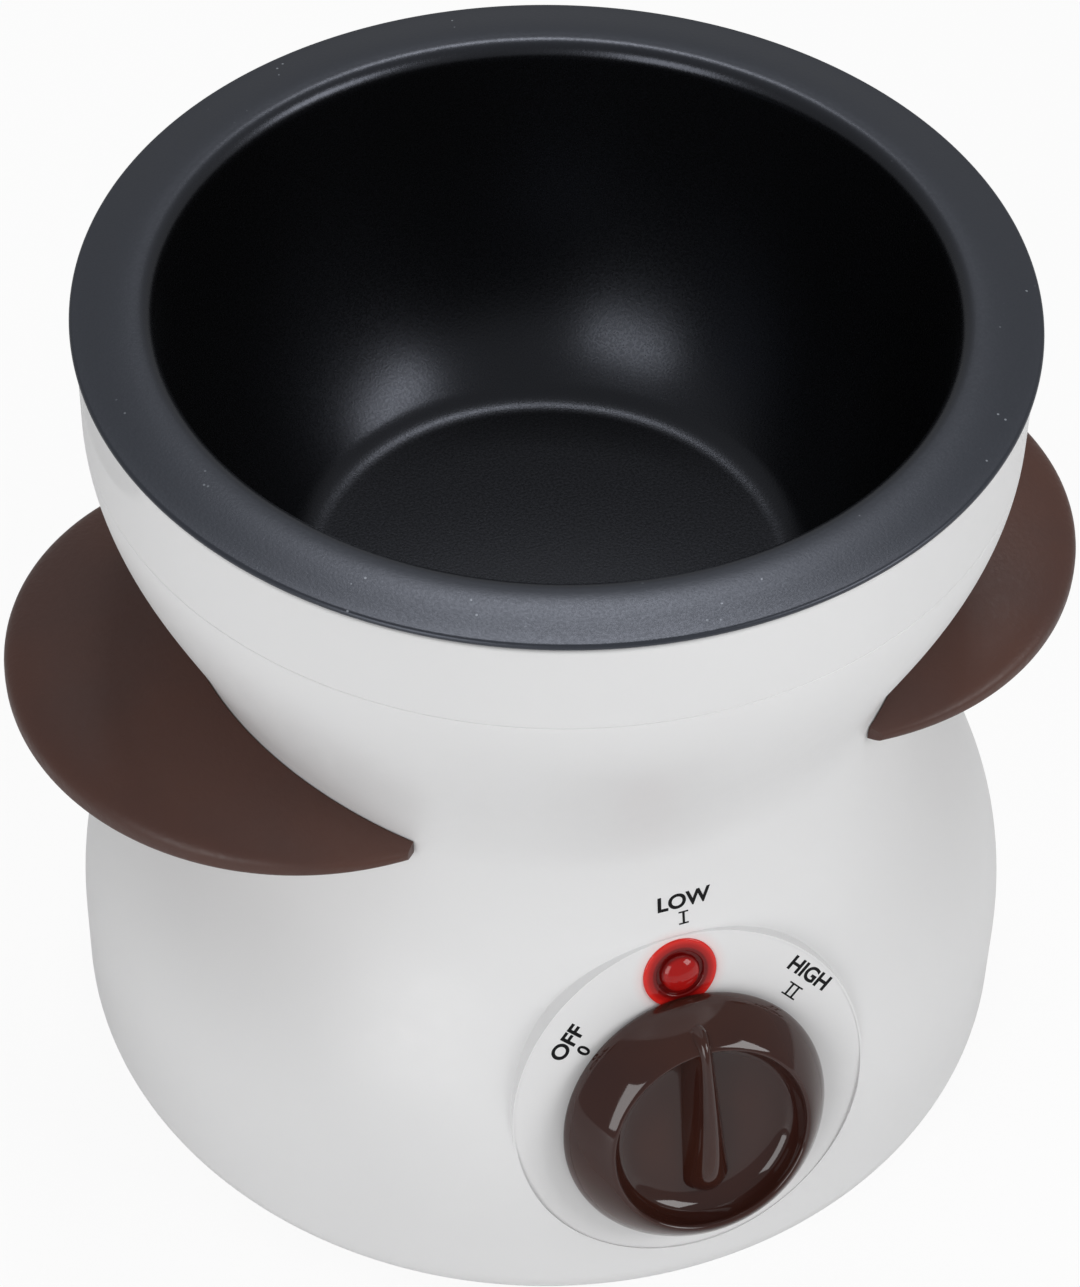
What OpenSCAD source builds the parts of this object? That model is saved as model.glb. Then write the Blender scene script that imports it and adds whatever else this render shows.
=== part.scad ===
// Electric fondue pot: a lift-out coated pot in a waisted moulded housing with two
// wing handles, a heater under the pot and a three-position control knob.
// Millimetres, +Z up. The origin is on the housing's axis at table level, the knob
// faces -Y and the handles point along +X and -X.

/* [Pot] */
// Height of the rim's outer edge above the table
rim_z = 136; // [130:1:145]
// Radius of the rim's outer edge
rim_r = 66; // [64:0.5:70]
// Width of the rim flange
rim_w = 10.5; // [9:0.5:12]
// Rise of the rim flange from its outer edge to the mouth
rim_rise = 1; // [0.4:0.1:2]
// Thickness of the pot's sheet
pot_wall = 1.5; // [1:0.1:2]
// Depth of the pot's floor below the rim's outer edge
pot_depth = 52; // [48:1:55]
// Radius of the pot's flat floor
floor_r = 33.5; // [32:0.5:36]
// Radius of the round between the floor and the bowl-shaped wall
floor_round = 7; // [5:0.5:8]
// Radius of the round between the wall and the flange
mouth_round = 2.5; // [2.2:0.1:4]

/* [Collar] */
// Distance from the rim's edge down to the seam below the collar
collar_drop = 15.8; // [13:0.2:20]
// How far the rim stands out past the collar
rim_overhang = 0.7; // [0.2:0.1:2]
// Wall of the collar
collar_wall = 2.8; // [2.4:0.1:3.4]
// Thickness of the collar's top ledge
ledge_t = 2.6; // [2:0.1:4]
// Depth of the finger scoop at the collar's top edge
scoop_depth = 2.1; // [1:0.1:2.4]
// Height of the finger scoop
scoop_h = 7; // [5:0.5:9]

/* [Housing] */
// How far the waist stands out past the pot's floor
waist_out = 18.5; // [17:0.5:22]
// Distance from the rim's edge down to the waist
waist_drop = 59; // [56:0.5:62]
// How far the belly stands out past the rim
belly_out = 4.8; // [3:0.2:10]
// Height of the belly's widest line
belly_z = 20; // [16:0.5:24]
// Radius that rolls the belly in to the base
corner_r = 7.5; // [6:0.5:9]
// Height of the housing's lower edge above the table
base_lift = 1.5; // [1:0.1:3]
// Wall of the housing shell
shell_wall = 2.6; // [2:0.1:3]

/* [Control pad] */
// Height of the knob's axis at the pad
pad_z = 34.8; // [34:0.2:36]
// Radius of the flat pad
pad_r = 26.4; // [25.6:0.1:27]
// Distance of the pad's middle above the knob's axis
pad_up = 2.7; // [2:0.1:3]
// How far the pad's sides lie below the shell
pad_recess = 0.9; // [0.6:0.1:1.4]
// Wall behind the pad
pad_wall = 3; // [2.4:0.1:4]
// Tilt of the knob's axis above the horizontal
knob_tilt = 18.6; // [18:0.2:20]
// Distance of the pilot light above the knob's axis
lens_up = 23.4; // [23:0.1:24]

/* [Knob] */
// Radius of the knob's skirt at its widest
knob_r = 19.8; // [18:0.1:20]
// Height of the knob's ring above the pad
knob_top = 9.6; // [9:0.1:11]
// Height of the skirt's widest line above the pad
skirt_z = 2.3; // [2:0.1:3]
// Gap between the skirt and the pad
knob_gap = 1.5; // [1.4:0.1:1.8]
// Radius of the knob's recess
recess_r = 14.3; // [13:0.1:15]
// Depth of the knob's recess below its ring
recess_d = 4.4; // [3.6:0.1:4.8]
// Rise of the blade's crest above the ring
blade_rise = 0.4; // [0:0.1:1]
// Width of the blade at its broad lower end
blade_w = 5.4; // [4:0.1:7]
// Width of the blade at its pointing end
blade_tip_w = 2.8; // [2:0.1:4]
// Radius of the switch shaft
shaft_r = 3; // [2.5:0.1:3.2]

/* [Pilot light] */
// Radius of the lens flange
lens_r = 5.5; // [5:0.1:5.8]
// Thickness of the lens flange
lens_t = 1; // [0.8:0.1:1.1]
// Radius of the lens stem
stem_r = 3.7; // [3.4:0.1:4]
// Length of the lens stem behind the pad's face
stem_len = 13; // [11:0.5:14]

/* [Handles] */
// How far the handles stand out from the waist
handle_out = 28; // [24:0.5:32]
// Height of a handle's middle plane above the waist
handle_up = 2.4; // [1:0.2:4]
// Rise of a handle's middle plane for each unit of reach
handle_slope = 0.05; // [0:0.01:0.1]
// Thickness of a handle at its root
handle_t = 11.8; // [10:0.2:12.6]
// Half angle that a handle spans round the waist
handle_half_a = 49.6; // [46:0.2:51]
// Gap between a handle and the housing
handle_gap = 0.15; // [0.1:0.05:0.3]

/* [Heater] */
// Space between the pot and the heater bowl
bowl_gap = 2.5; // [2.2:0.1:3]
// Sheet of the heater bowl
bowl_t = 0.6; // [0.5:0.1:1]
// How far the heater plate's edge lies inside the pot's floor
plate_in = 2; // [1.5:0.5:3.5]
// Width of the bowl's floor under the plate's edge
bowl_lap = 2.9; // [2.5:0.1:4]
// Thickness of the plate's lower body
plate_body_t = 4; // [3:0.5:5]
// Radius of the heating element's ring
element_r = 21; // [20:0.5:23]
// Radius of the element's tube
tube_r = 3.2; // [2.6:0.1:3.4]
// Air between the heat shield's edge and the waist
shield_air = 7.4; // [6.4:0.2:9]
// Distance from the bowl down to the heat shield
shield_drop = 14; // [13:0.5:15]

/* [Base] */
// Thickness of the base plate
base_t = 2.4; // [2:0.1:3]
// Radius of a foot
foot_r = 6; // [5:0.5:7]
// How far the feet lie inside the base's opening
foot_in = 14; // [12:0.5:18]
// How far the base screws lie inside the base's opening
boss_in = 5; // [4.5:0.5:6]
// Angle of the base screws away from the X axis
boss_a = 24; // [20:1:28]
// Height of the cord gland's axis
gland_z = 18; // [16:0.5:22]
// Radius of the cord gland's bore
gland_bore_r = 3.2; // [2.8:0.1:3.6]

/* [Hidden] */

$fn = 96;
// One overrun for every cut
cut = 1;
// Gap between pieces on different bodies
fit = 0.3;
// Radial clearance of a running shaft
run = 0.05;
// Clearance of a piece in its seat
slip = 0.1;

housing_colour = [0.93, 0.93, 0.94];
coating_colour = [0.17, 0.18, 0.2];
brown_colour = [0.24, 0.13, 0.09];
sheet_colour = [0.75, 0.76, 0.77];
steel_colour = [0.6, 0.61, 0.63];
lens_colour = [0.85, 0.08, 0.06];
ceramic_colour = [0.9, 0.88, 0.82];
black_colour = [0.08, 0.08, 0.09];

// Curves and outlines
function unit(v) = v / norm(v);
function bezier(p, steps) = [for (i = [0:steps]) let (t = i / steps, s = 1 - t)
    s * s * s * p[0] + 3 * s * s * t * p[1] + 3 * s * t * t * p[2] + t * t * t * p[3]];
function arc(c, r, from, to, steps) = [for (i = [0:steps]) let (a = from + (to - from) * i / steps)
    c + r * [cos(a), sin(a)]];
function along(p, i) = unit(p[min(i + 1, len(p) - 1)] - p[max(i - 1, 0)]);
function shifted(p, d) = [for (i = [0:len(p) - 1]) let (t = along(p, i)) p[i] + d * [t.y, -t.x]];
function reversed(p) = [for (i = [len(p) - 1:-1:0]) p[i]];
function after_first(p) = [for (i = [1:len(p) - 1]) p[i]];
function before_last(p) = [for (i = [0:len(p) - 2]) p[i]];

// Levels and radii that follow from the driving sizes
mouth_r = rim_r - rim_w;
mouth_z = rim_z + rim_rise;
floor_z = rim_z - pot_depth;
round_in_share = 0.4;
wall_top_r = mouth_r - mouth_round * round_in_share;
collar_r = rim_r - rim_overhang;
waist_r = floor_r + waist_out;
waist_z = rim_z - waist_drop;
belly_r = rim_r + belly_out;
collar_top = rim_z - pot_wall - fit;
seam_z = rim_z - collar_drop;
bowl_floor_z = floor_z - pot_wall - bowl_gap;
plate_r = floor_r - plate_in;
bowl_hole_r = plate_r - bowl_lap;
plate_base_z = bowl_floor_z - plate_body_t;
shield_z = bowl_floor_z - bowl_t - shield_drop;

// Pot: a round leads from the floor into a bowl-shaped wall
floor_turn_a = 45;
wall_turn_share = 0.64;
wall_knee_share = 0.54;
floor_arc = arc([floor_r, floor_z + floor_round], floor_round, -90, -floor_turn_a, 5);
wall_foot = floor_arc[len(floor_arc) - 1];
wall_turn = wall_turn_share * (wall_top_r - wall_foot.x);
wall_line = concat(floor_arc, after_first(bezier([wall_foot, wall_foot + [wall_turn, wall_turn],
    [wall_top_r, floor_z + wall_knee_share * pot_depth], [wall_top_r, mouth_z - mouth_round]], 12)));
edge_r = pot_wall / 2;
crown_share = 0.25;
flange_in_r = wall_top_r + mouth_round;
mouth_line = arc([flange_in_r, mouth_z - mouth_round], mouth_round, 180, 90, 5);
flange_line = bezier([[flange_in_r, mouth_z],
    [flange_in_r + crown_share * rim_w, mouth_z + crown_share * rim_rise],
    [rim_r - crown_share * rim_w, rim_z + crown_share * rim_rise],
    [rim_r - edge_r, rim_z]], 5);
edge_line = arc([rim_r - edge_r, rim_z - edge_r], edge_r, 90, -90, 6);
pot_line = concat([[0, floor_z]], wall_line, after_first(mouth_line), after_first(flange_line));
pot_outline = concat(pot_line, after_first(edge_line), reversed(before_last(shifted(pot_line, pot_wall))));

// Housing: flare from the seam to the waist, swell from the waist to the belly
flare_top_share = 0.36;
flare_low_share = 0.28;
swell_top_share = 0.48;
swell_low_share = 0.52;
flare_h = seam_z - waist_z;
swell_h = waist_z - belly_z;
flare_line = bezier([[collar_r, seam_z], [collar_r, seam_z - flare_top_share * flare_h],
    [waist_r, waist_z + flare_low_share * flare_h], [waist_r, waist_z]], 12);
swell_line = bezier([[waist_r, waist_z], [waist_r, waist_z - swell_top_share * swell_h],
    [belly_r, belly_z + swell_low_share * swell_h], [belly_r, belly_z]], 14);
corner_line = arc([belly_r - corner_r, base_lift + corner_r], corner_r, 0, -90, 6);
shell_line = concat(flare_line, after_first(swell_line), corner_line);
opening_r = belly_r - corner_r - shell_wall / 2;
foot_place_r = opening_r - foot_in;
boss_place_r = opening_r - boss_in;
shell_radii = [for (p = shell_line) [p.y, p.x]];
function shell_r(z) = lookup(z, shell_radii);

// Collar joint: a tongue on the shell stands inside the collar and snaps in by a bead
collar_in_r = collar_r - collar_wall;
tongue_r = collar_in_r - slip;
tongue_wall = 2;
tongue_h = 5;
tongue_top = seam_z + tongue_h;
bead = 0.4;
bead_z = seam_z + tongue_h / 2;
collar_edge = 0.6;
ledge_gap = 1.6;
ledge_r = flange_in_r + ledge_gap;
gusset = 2.4;

// Bowl: the pot's wall moved outwards, hung by a flange on the shell's tongue
bowl_drop = 2;
bowl_side = [for (p = shifted(wall_line, pot_wall + bowl_gap))
    if (p.y < tongue_top - bowl_drop) p];
bowl_side_r = bowl_side[len(bowl_side) - 1].x;
bowl_line = concat([[bowl_hole_r, bowl_floor_z]], bowl_side,
    [[bowl_side_r, tongue_top + bowl_t], [tongue_r - bead, tongue_top + bowl_t]]);
bowl_outline = concat(bowl_line, reversed(shifted(bowl_line, bowl_t)));

// Control pad and what sits on its axis, measured outwards from the pad's face
pad_out = sqrt(pow(shell_r(pad_z), 2) - pad_r * pad_r) - pad_recess;
pad_skirt = 5;
pad_lap = 1;
well_r = 9;
well_d = 4.6;
well_wall = 2.4;
nut_t = 2.2;
nut_flats = 12;
bush_r = 4.5;
bush_over_nut = 0.8;
bush_out = nut_t + bush_over_nut - well_d;
switch_w = 25;
switch_h = 21;
switch_d = 11;
switch_back = -well_d - well_wall - switch_d;
rotor_lift = 2;
rotor_r = 6;
rotor_t = 3;
tab_w = 4.8;
tab_t = 0.8;
tab_len = 7;
tab_pitch = 8;
flat_d = 0.8;

// Pilot light: lens with a raised inner dome in a shallow groove, push-on retainer, lamp
lens_groove = 0.4;
groove_w = 0.5;
dome_r = 3;
dome_share = 0.56;
stem_bore_r = 2.6;
clip_t = 0.6;
clip_r = 5.6;
clip_room = 6;
bulb_r = 2.2;
lamp_leg = 5;

// Knob: skirt, domed ring and recess as one closed outline
skirt_in_share = 0.985;
ring_share = 0.75;
dome_up_share = 0.32;
dome_out_share = 0.2;
cap_t = 1.4;
knob_wall = 2;
recess_z = knob_top - recess_d;
recess_lip = 0.5;
recess_draft = 0.5;
ring_r = knob_r * ring_share;
hub_r = 5.6;
hub_gap = 0.5;
hub_base = bush_out + hub_gap;
shaft_cap = 1.4;
shaft_top = recess_z - shaft_cap;
spring_t = 0.5;
knob_inside_r = ring_r - knob_wall;
dome_line = bezier([[knob_r, skirt_z],
    [knob_r, skirt_z + dome_up_share * (knob_top - skirt_z)],
    [ring_r + dome_out_share * (knob_r - ring_r), knob_top],
    [ring_r, knob_top]], 10);
blade_share = 0.78;
blade_reach = recess_r * blade_share;
blade_over = 2.8;
blade_tip_y = ring_r + blade_over;
crest_z = knob_top + blade_rise;
crest_y = recess_r / 2;
crest_line = concat(
    bezier([[-blade_reach, recess_z], [-blade_reach, recess_z + 2 * recess_d / 3],
        [-crest_y / 2, crest_z], [crest_y, crest_z]], 8),
    after_first(bezier([[crest_y, crest_z], [ring_r - blade_over, crest_z], [blade_tip_y, knob_top],
        [blade_tip_y, recess_z]], 8)));

// Handle: radial sections, from a tip through the middle to the other tip
handle_steps = 16;
handle_z = waist_z + handle_up;
nose_steps = 8;
root_steps = 4;
tip_share = 0.2;
taper_share = 0.22;
fullness = 3.2;
tip_nose = 0.8;
tip_blunt_a = 2.3;
tip_r = shell_r(handle_z) + handle_gap;
chord_x = tip_r * cos(handle_half_a + tip_blunt_a);
handle_reach = waist_r + handle_out;
outer_c = (handle_reach * handle_reach - tip_r * tip_r) / (handle_reach - chord_x) / 2;
outer_r = handle_reach - outer_c;
handle_screw_y = 13;
screw_r = 1.5;
screw_head_r = 2.8;
screw_head_t = 1.8;
screw_bite = 9;
screw_pad_h = 4.5;
screw_pad_r = 4;
screw_seat_x = waist_r - shell_wall - screw_pad_h;
screw_z = handle_z + handle_slope * screw_bite / 2;
screw_reach = waist_r - screw_seat_x + screw_bite;

// Base: bosses, feet, gland, terminal block
base_top = base_lift + base_t;
plate_edge_r = opening_r - fit;
boss_r = 3.6;
boss_h = 15;
boss_rib_share = 0.6;
rib_t = 1.6;
base_screw_len = 12;
base_head_t = base_t / 2;
foot_pocket = 0.8;
foot_stem_r = 2;
foot_knob_r = 2.8;
foot_knob_h = 1.4;
foot_edge = 0.5;
gland_seat = 0.6;
gland_wall = 1.8;
gland_body_r = gland_bore_r + gland_wall;
gland_rim = 2.6;
gland_flange_r = gland_body_r + gland_rim;
gland_flange_t = 1.8;
gland_edge = 0.5;
gland_y = shell_r(gland_z) - gland_seat;
gland_len = 12;
gland_nut_wall = 3;
gland_nut_r = gland_body_r + gland_nut_wall;
gland_nut_t = 3;
inside_y = shell_r(gland_z) - shell_wall;
gland_nut_y = sqrt(inside_y * inside_y - gland_nut_r * gland_nut_r) - gland_nut_t - slip;
block_w = 28;
block_d = 13;
block_h = 13;
block_y = 24;
block_step_share = 0.6;
block_step = block_h * block_step_share;
block_post_h = 6;
block_base = base_top + block_post_h;
block_poles = 3;
pole_pitch = 10;
pole_half = 2.6;
post_r = 3;
vent_count = 11;
vent_w = 2.4;
vent_in_r = 14;
vent_out_r = 30;

// Heater: element ends, thermostat, fuse and shield
pin_r = 1.2;
pin_out = 15;
element_open_a = 40;
pin_a = element_open_a / 2 + asin(2 * pin_r / element_r);
element_z = plate_base_z - pin_r - slip;
stat_r = 6.4;
stat_h = 7;
ear_x = 9.4;
ear_end = 12;
ear_w = 8;
ear_t = 0.8;
small_screw_r = 1.2;
small_head_r = 2.2;
small_head_t = 1.4;
fuse_l = 13;
fuse_w = 5;
fuse_h = 4;
fuse_y = 12;
post_inset = 3;
post_place_r = bowl_hole_r + post_inset;
shield_r = waist_r - shell_wall - shield_air;
shield_post_r = 2.6;
shield_fold = 4;
shield_hole_r = 6;

// Leads: insulated wires between the block, the switch and the element
lead_r = 1.2;
lead_sides = 8;
lead_steps = 5;
lead_gap = 0.4;
lead_plug = 4;
lead_start = 3;
lead_joint = 0.3;
shield_pass_r = (shield_r + waist_r - shell_wall) / 2;

module on_pad() {
    translate([0, -pad_out, pad_z])
        rotate([90 - knob_tilt, 0, 0])
            children();
}

module mirrored_x() {
    children();
    mirror([1, 0, 0])
        children();
}

module revolve(points) {
    rotate_extrude()
        polygon(points);
}

module tube_ring(outer, inner, h) {
    difference() {
        cylinder(r = outer, h = h);
        translate([0, 0, -cut])
            cylinder(r = inner, h = h + 2 * cut);
    }
}

module inner_pot() {
    color(coating_colour)
        revolve(pot_outline);
}

// The scoop's cutter is a level cylinder: it leaves a flat that runs out at the sides
module scoop() {
    cutter_r = (scoop_h * scoop_h / scoop_depth + scoop_depth) / 2;
    translate([collar_r - scoop_depth + cutter_r, 0, collar_top])
        rotate([90, 0, 0])
            cylinder(r = cutter_r, h = collar_r, center = true);
}

module upper_collar() {
    color(housing_colour)
        difference() {
            revolve([
                [collar_r, seam_z + slip],
                [collar_r, collar_top - collar_edge],
                [collar_r - collar_edge, collar_top],
                [ledge_r, collar_top],
                [ledge_r, collar_top - ledge_t],
                [collar_in_r - gusset, collar_top - ledge_t],
                [collar_in_r, collar_top - ledge_t - gusset],
                [collar_in_r, bead_z + bead + slip],
                [collar_in_r + bead, bead_z + slip],
                [collar_in_r + bead, bead_z - slip],
                [collar_in_r, bead_z - bead - slip],
                [collar_in_r, seam_z + slip]
            ]);
            mirrored_x()
                scoop();
        }
}

module shell_wall_ring() {
    inside = shifted(shell_line, shell_wall);
    revolve(concat(
        [[tongue_r, seam_z], [collar_r, seam_z]],
        after_first(shell_line),
        [[opening_r, base_lift], [opening_r, base_lift + shell_wall]],
        reversed([for (p = inside) if (p.y < seam_z - shell_wall && p.y > base_lift + shell_wall) p]),
        [
            [tongue_r - tongue_wall, seam_z - shell_wall],
            [tongue_r - tongue_wall, tongue_top],
            [tongue_r - bead, tongue_top],
            [tongue_r, tongue_top - bead],
            [tongue_r, bead_z + bead],
            [tongue_r + bead, bead_z],
            [tongue_r, bead_z - bead]
        ]));
}

module pad_plate() {
    translate([0, 0, -well_d - well_wall])
        cylinder(r = well_r + well_wall, h = well_d);
    translate([0, pad_up, -pad_skirt])
        difference() {
            cylinder(r = pad_r, h = pad_skirt);
            translate([0, 0, -cut])
                cylinder(r = pad_r - shell_wall, h = pad_skirt - pad_wall + cut);
        }
}

module base_boss() {
    rotate([0, 0, boss_a])
        translate([boss_place_r, 0, base_top])
            union() {
                cylinder(r = boss_r, h = boss_h);
                translate([0, -rib_t / 2, boss_h / 4])
                    cube([belly_r - boss_place_r - shell_wall / 2, rib_t, boss_h * boss_rib_share]);
            }
}

module at_handle_screws() {
    for (side = [0, 180])
        rotate([0, 0, side])
            for (y = [-handle_screw_y, handle_screw_y])
                translate([screw_seat_x, y, screw_z])
                    rotate([0, 90, 0])
                        children();
}

module at_base_screws() {
    for (a = [boss_a, 180 - boss_a, 180 + boss_a, -boss_a])
        rotate([0, 0, a])
            translate([boss_place_r, 0, 0])
                children();
}

module housing_shell() {
    color(housing_colour)
        difference() {
            union() {
                difference() {
                    shell_wall_ring();
                    on_pad()
                        translate([0, pad_up, -pad_r])
                            cylinder(r = pad_r - pad_lap, h = 2 * pad_r);
                }
                on_pad()
                    pad_plate();
                mirrored_x() {
                    base_boss();
                    mirror([0, 1, 0])
                        base_boss();
                }
                at_handle_screws()
                    cylinder(r = screw_pad_r, h = waist_r - shell_wall / 2 - screw_seat_x
                        - handle_screw_y * handle_screw_y / waist_r / 2);
            }
            on_pad() {
                translate([0, pad_up, 0])
                    cylinder(r = pad_r, h = pad_r);
                translate([0, 0, -pad_r])
                    cylinder(r = bush_r + slip, h = 2 * pad_r);
                translate([0, 0, -well_d])
                    cylinder(r = well_r, h = well_d + cut);
                translate([0, lens_up, -pad_skirt - pad_wall])
                    cylinder(r = stem_r + slip, h = 2 * pad_skirt + pad_wall);
                translate([0, lens_up, 0])
                    cylinder(r = lens_r + slip, h = pad_skirt);
                translate([0, lens_up, -pad_wall - clip_room])
                    cylinder(r = clip_r + slip, h = clip_room);
            }
            at_handle_screws()
                translate([0, 0, -cut])
                    cylinder(r = screw_r + slip, h = waist_r);
            at_base_screws()
                translate([0, 0, base_lift])
                    cylinder(r = screw_r + run, h = base_screw_len + base_t);
            translate([0, gland_y, gland_z])
                rotate([-90, 0, 0]) {
                    cylinder(r = gland_flange_r + slip, h = belly_r);
                    translate([0, 0, -gland_len])
                        cylinder(r = gland_body_r + slip, h = 2 * gland_len);
                }
        }
}

// A handle's outer edge is an arc about a point on the X axis
function outer_reach(a) = outer_c * cos(a) + sqrt(outer_r * outer_r - pow(outer_c * sin(a), 2));
function handle_mid(x) = handle_z + handle_slope * (x - waist_r);
function root_place(a, up) = let (
    guess = shell_r(handle_mid(waist_r * cos(a)) + up),
    z = handle_mid(guess * cos(a)) + up)
    [shell_r(z) + handle_gap, z];
function handle_thick(a) = handle_t * (tip_share + (1 - tip_share) * cos(90 * a / handle_half_a));
function face_place(a, turn, side) = let (
    half = side * handle_thick(a) / 2,
    root = root_place(a, half),
    out = pow(sin(turn), 2 / fullness),
    up = pow(cos(turn), 2 / fullness),
    r = root.x + out * (max(outer_reach(a), root.x + tip_nose) - root.x),
    z = handle_mid(r * cos(a)) + half * up * (1 - taper_share * out))
    [r * cos(a), r * sin(a), turn == 0 ? root.y : z];
function root_line(a) = [for (k = [1:root_steps - 1]) let (
    p = root_place(a, handle_thick(a) * (k / root_steps - 0.5)))
    [p.x * cos(a), p.x * sin(a), p.y]];
function handle_section(a) = concat(
    [for (j = [0:nose_steps]) face_place(a, 90 * j / nose_steps, 1)],
    [for (j = [nose_steps - 1:-1:0]) face_place(a, 90 * j / nose_steps, -1)],
    root_line(a));

// Joins rings of points into a closed skin, with flat ends
module skin(rings) {
    n = len(rings[0]);
    m = len(rings);
    polyhedron(
        points = [for (ring = rings) each ring],
        faces = concat(
            [for (i = [0:m - 2], j = [0:n - 1]) let (k = (j + 1) % n)
                [i * n + j, (i + 1) * n + k, i * n + k]],
            [for (i = [0:m - 2], j = [0:n - 1]) let (k = (j + 1) % n)
                [i * n + j, (i + 1) * n + j, (i + 1) * n + k]],
            [for (j = [1:n - 2]) [0, j, j + 1]],
            [for (j = [1:n - 2]) [(m - 1) * n, (m - 1) * n + j + 1, (m - 1) * n + j]]));
}

module wing() {
    color(brown_colour)
        difference() {
            skin([for (i = [0:handle_steps])
                handle_section(handle_half_a * (2 * i / handle_steps - 1))]);
            for (y = [-handle_screw_y, handle_screw_y])
                translate([screw_seat_x, y, screw_z])
                    rotate([0, 90, 0])
                        cylinder(r = screw_r + run, h = screw_reach, $fn = 24);
        }
}

module left_handle() {
    rotate([0, 0, 180])
        wing();
}

module right_handle() {
    wing();
}

// A screw along +Z whose head lies below z = 0, with a cross slot
module pan_screw(r, len, head_r, head_t) {
    union() {
        cylinder(r = r, h = len);
        translate([0, 0, -head_t])
            difference() {
                cylinder(r1 = head_r - head_t / 4, r2 = head_r, h = head_t);
                for (a = [0, 90])
                    rotate([0, 0, a])
                        translate([-head_r / 2, -head_t / 6, -cut])
                            cube([head_r, head_t / 3, head_t / 2 + cut]);
            }
    }
}

module handle_screws() {
    color(steel_colour)
        at_handle_screws()
            pan_screw(screw_r, screw_reach - fit, screw_head_r, screw_head_t);
}

module at_shield_posts() {
    for (a = [90, 210, 330])
        rotate([0, 0, a])
            translate([post_place_r, 0, 0])
                children();
}

module heater_bowl() {
    color(sheet_colour)
        revolve(bowl_outline);
}

module element_ring(r) {
    rotate([0, 0, element_open_a / 2 - 90])
        rotate_extrude(angle = 360 - element_open_a)
            translate([element_r, 0])
                circle(r = r, $fn = 32);
}

module heater_plate() {
    color(sheet_colour)
        difference() {
            union() {
                translate([0, 0, bowl_floor_z])
                    cylinder(r = plate_r, h = bowl_gap - fit);
                translate([0, 0, plate_base_z])
                    cylinder(r = bowl_hole_r - slip, h = plate_body_t + bowl_gap / 2);
            }
            translate([0, 0, element_z])
                rotate_extrude()
                    translate([element_r, 0])
                        circle(r = tube_r + slip, $fn = 32);
            at_thermostat_screws()
                translate([0, 0, plate_base_z - cut])
                    cylinder(r = small_screw_r + run, h = plate_body_t + cut);
        }
}

module heating_element() {
    color(steel_colour)
        translate([0, 0, element_z]) {
            element_ring(tube_r);
            for (side = [-1, 1])
                rotate([0, 0, side * pin_a - 90])
                    translate([element_r, 0, 0])
                        rotate([0, 90, 0])
                            cylinder(r = pin_r, h = pin_out);
        }
}

module at_thermostat_screws() {
    for (x = [-ear_x, ear_x])
        translate([x, 0, 0])
            children();
}

module thermostat() {
    color(black_colour)
        difference() {
            union() {
                translate([0, 0, plate_base_z - stat_h])
                    cylinder(r = stat_r, h = stat_h);
                translate([-ear_end, -ear_w / 2, plate_base_z - ear_t])
                    cube([2 * ear_end, ear_w, ear_t]);
                for (y = [-stat_r / 2, stat_r / 2])
                    translate([-tab_w / 2, y - tab_t / 2, plate_base_z - stat_h - tab_w / 2])
                        cube([tab_w, tab_t, tab_w]);
            }
            at_thermostat_screws()
                translate([0, 0, plate_base_z - ear_t - cut])
                    cylinder(r = small_screw_r + slip, h = ear_t + 2 * cut);
        }
}

module thermostat_screws() {
    color(steel_colour)
        at_thermostat_screws()
            translate([0, 0, plate_base_z - ear_t])
                pan_screw(small_screw_r, plate_body_t, small_head_r, small_head_t);
}

module thermal_fuse() {
    color(ceramic_colour)
        translate([-fuse_l / 2, fuse_y - fuse_w / 2, plate_base_z - fuse_h])
            union() {
                cube([fuse_l, fuse_w, fuse_h]);
                translate([-lead_r, fuse_w / 2, fuse_h / 2])
                    rotate([0, 90, 0])
                        cylinder(r = tab_t / 2, h = fuse_l + 2 * lead_r);
            }
}

module heat_shield() {
    line = [[shield_hole_r, shield_z], [shield_r - shield_fold, shield_z],
        [shield_r - shield_fold / 3, shield_z + shield_fold / 3], [shield_r, shield_z + shield_fold]];
    color(sheet_colour)
        difference() {
            revolve(concat(line, reversed(shifted(line, bowl_t))));
            at_shield_posts()
                translate([0, 0, shield_z - bowl_t - cut])
                    cylinder(r = screw_r + slip, h = bowl_t + 2 * cut);
        }
}

module shield_posts() {
    post_h = bowl_floor_z - bowl_t - shield_z;
    color(steel_colour)
        at_shield_posts()
            translate([0, 0, shield_z])
                difference() {
                    cylinder(r = shield_post_r, h = post_h);
                    translate([0, 0, -cut])
                        cylinder(r = screw_r + run, h = post_h / 2 + cut);
                }
}

module shield_screws() {
    color(steel_colour)
        at_shield_posts()
            translate([0, 0, shield_z - bowl_t])
                pan_screw(screw_r, shield_drop / 3, screw_head_r, screw_head_t);
}

// The blade is tapered towards the pointing end and runs out over the ring
module blade() {
    tip = blade_tip_w / 2;
    broad = blade_w / 2;
    tip_y = blade_tip_y - tip;
    broad_y = broad - blade_reach;
    blade_base = recess_z - cap_t / 2;
    intersection() {
        translate([0, 0, blade_base])
            union() {
                translate([0, tip_y, 0])
                    cylinder(r = tip, h = knob_top, $fn = 32);
                translate([0, broad_y, 0])
                    cylinder(r = broad, h = knob_top, $fn = 32);
                linear_extrude(height = knob_top)
                    polygon([[-tip, tip_y], [tip, tip_y], [broad, broad_y], [-broad, broad_y]]);
            }
        rotate([90, 0, 90])
            linear_extrude(height = 2 * blade_w, center = true)
                polygon(concat([[blade_tip_y, blade_base - cut], [-blade_reach, blade_base - cut]], crest_line));
    }
}

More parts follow.
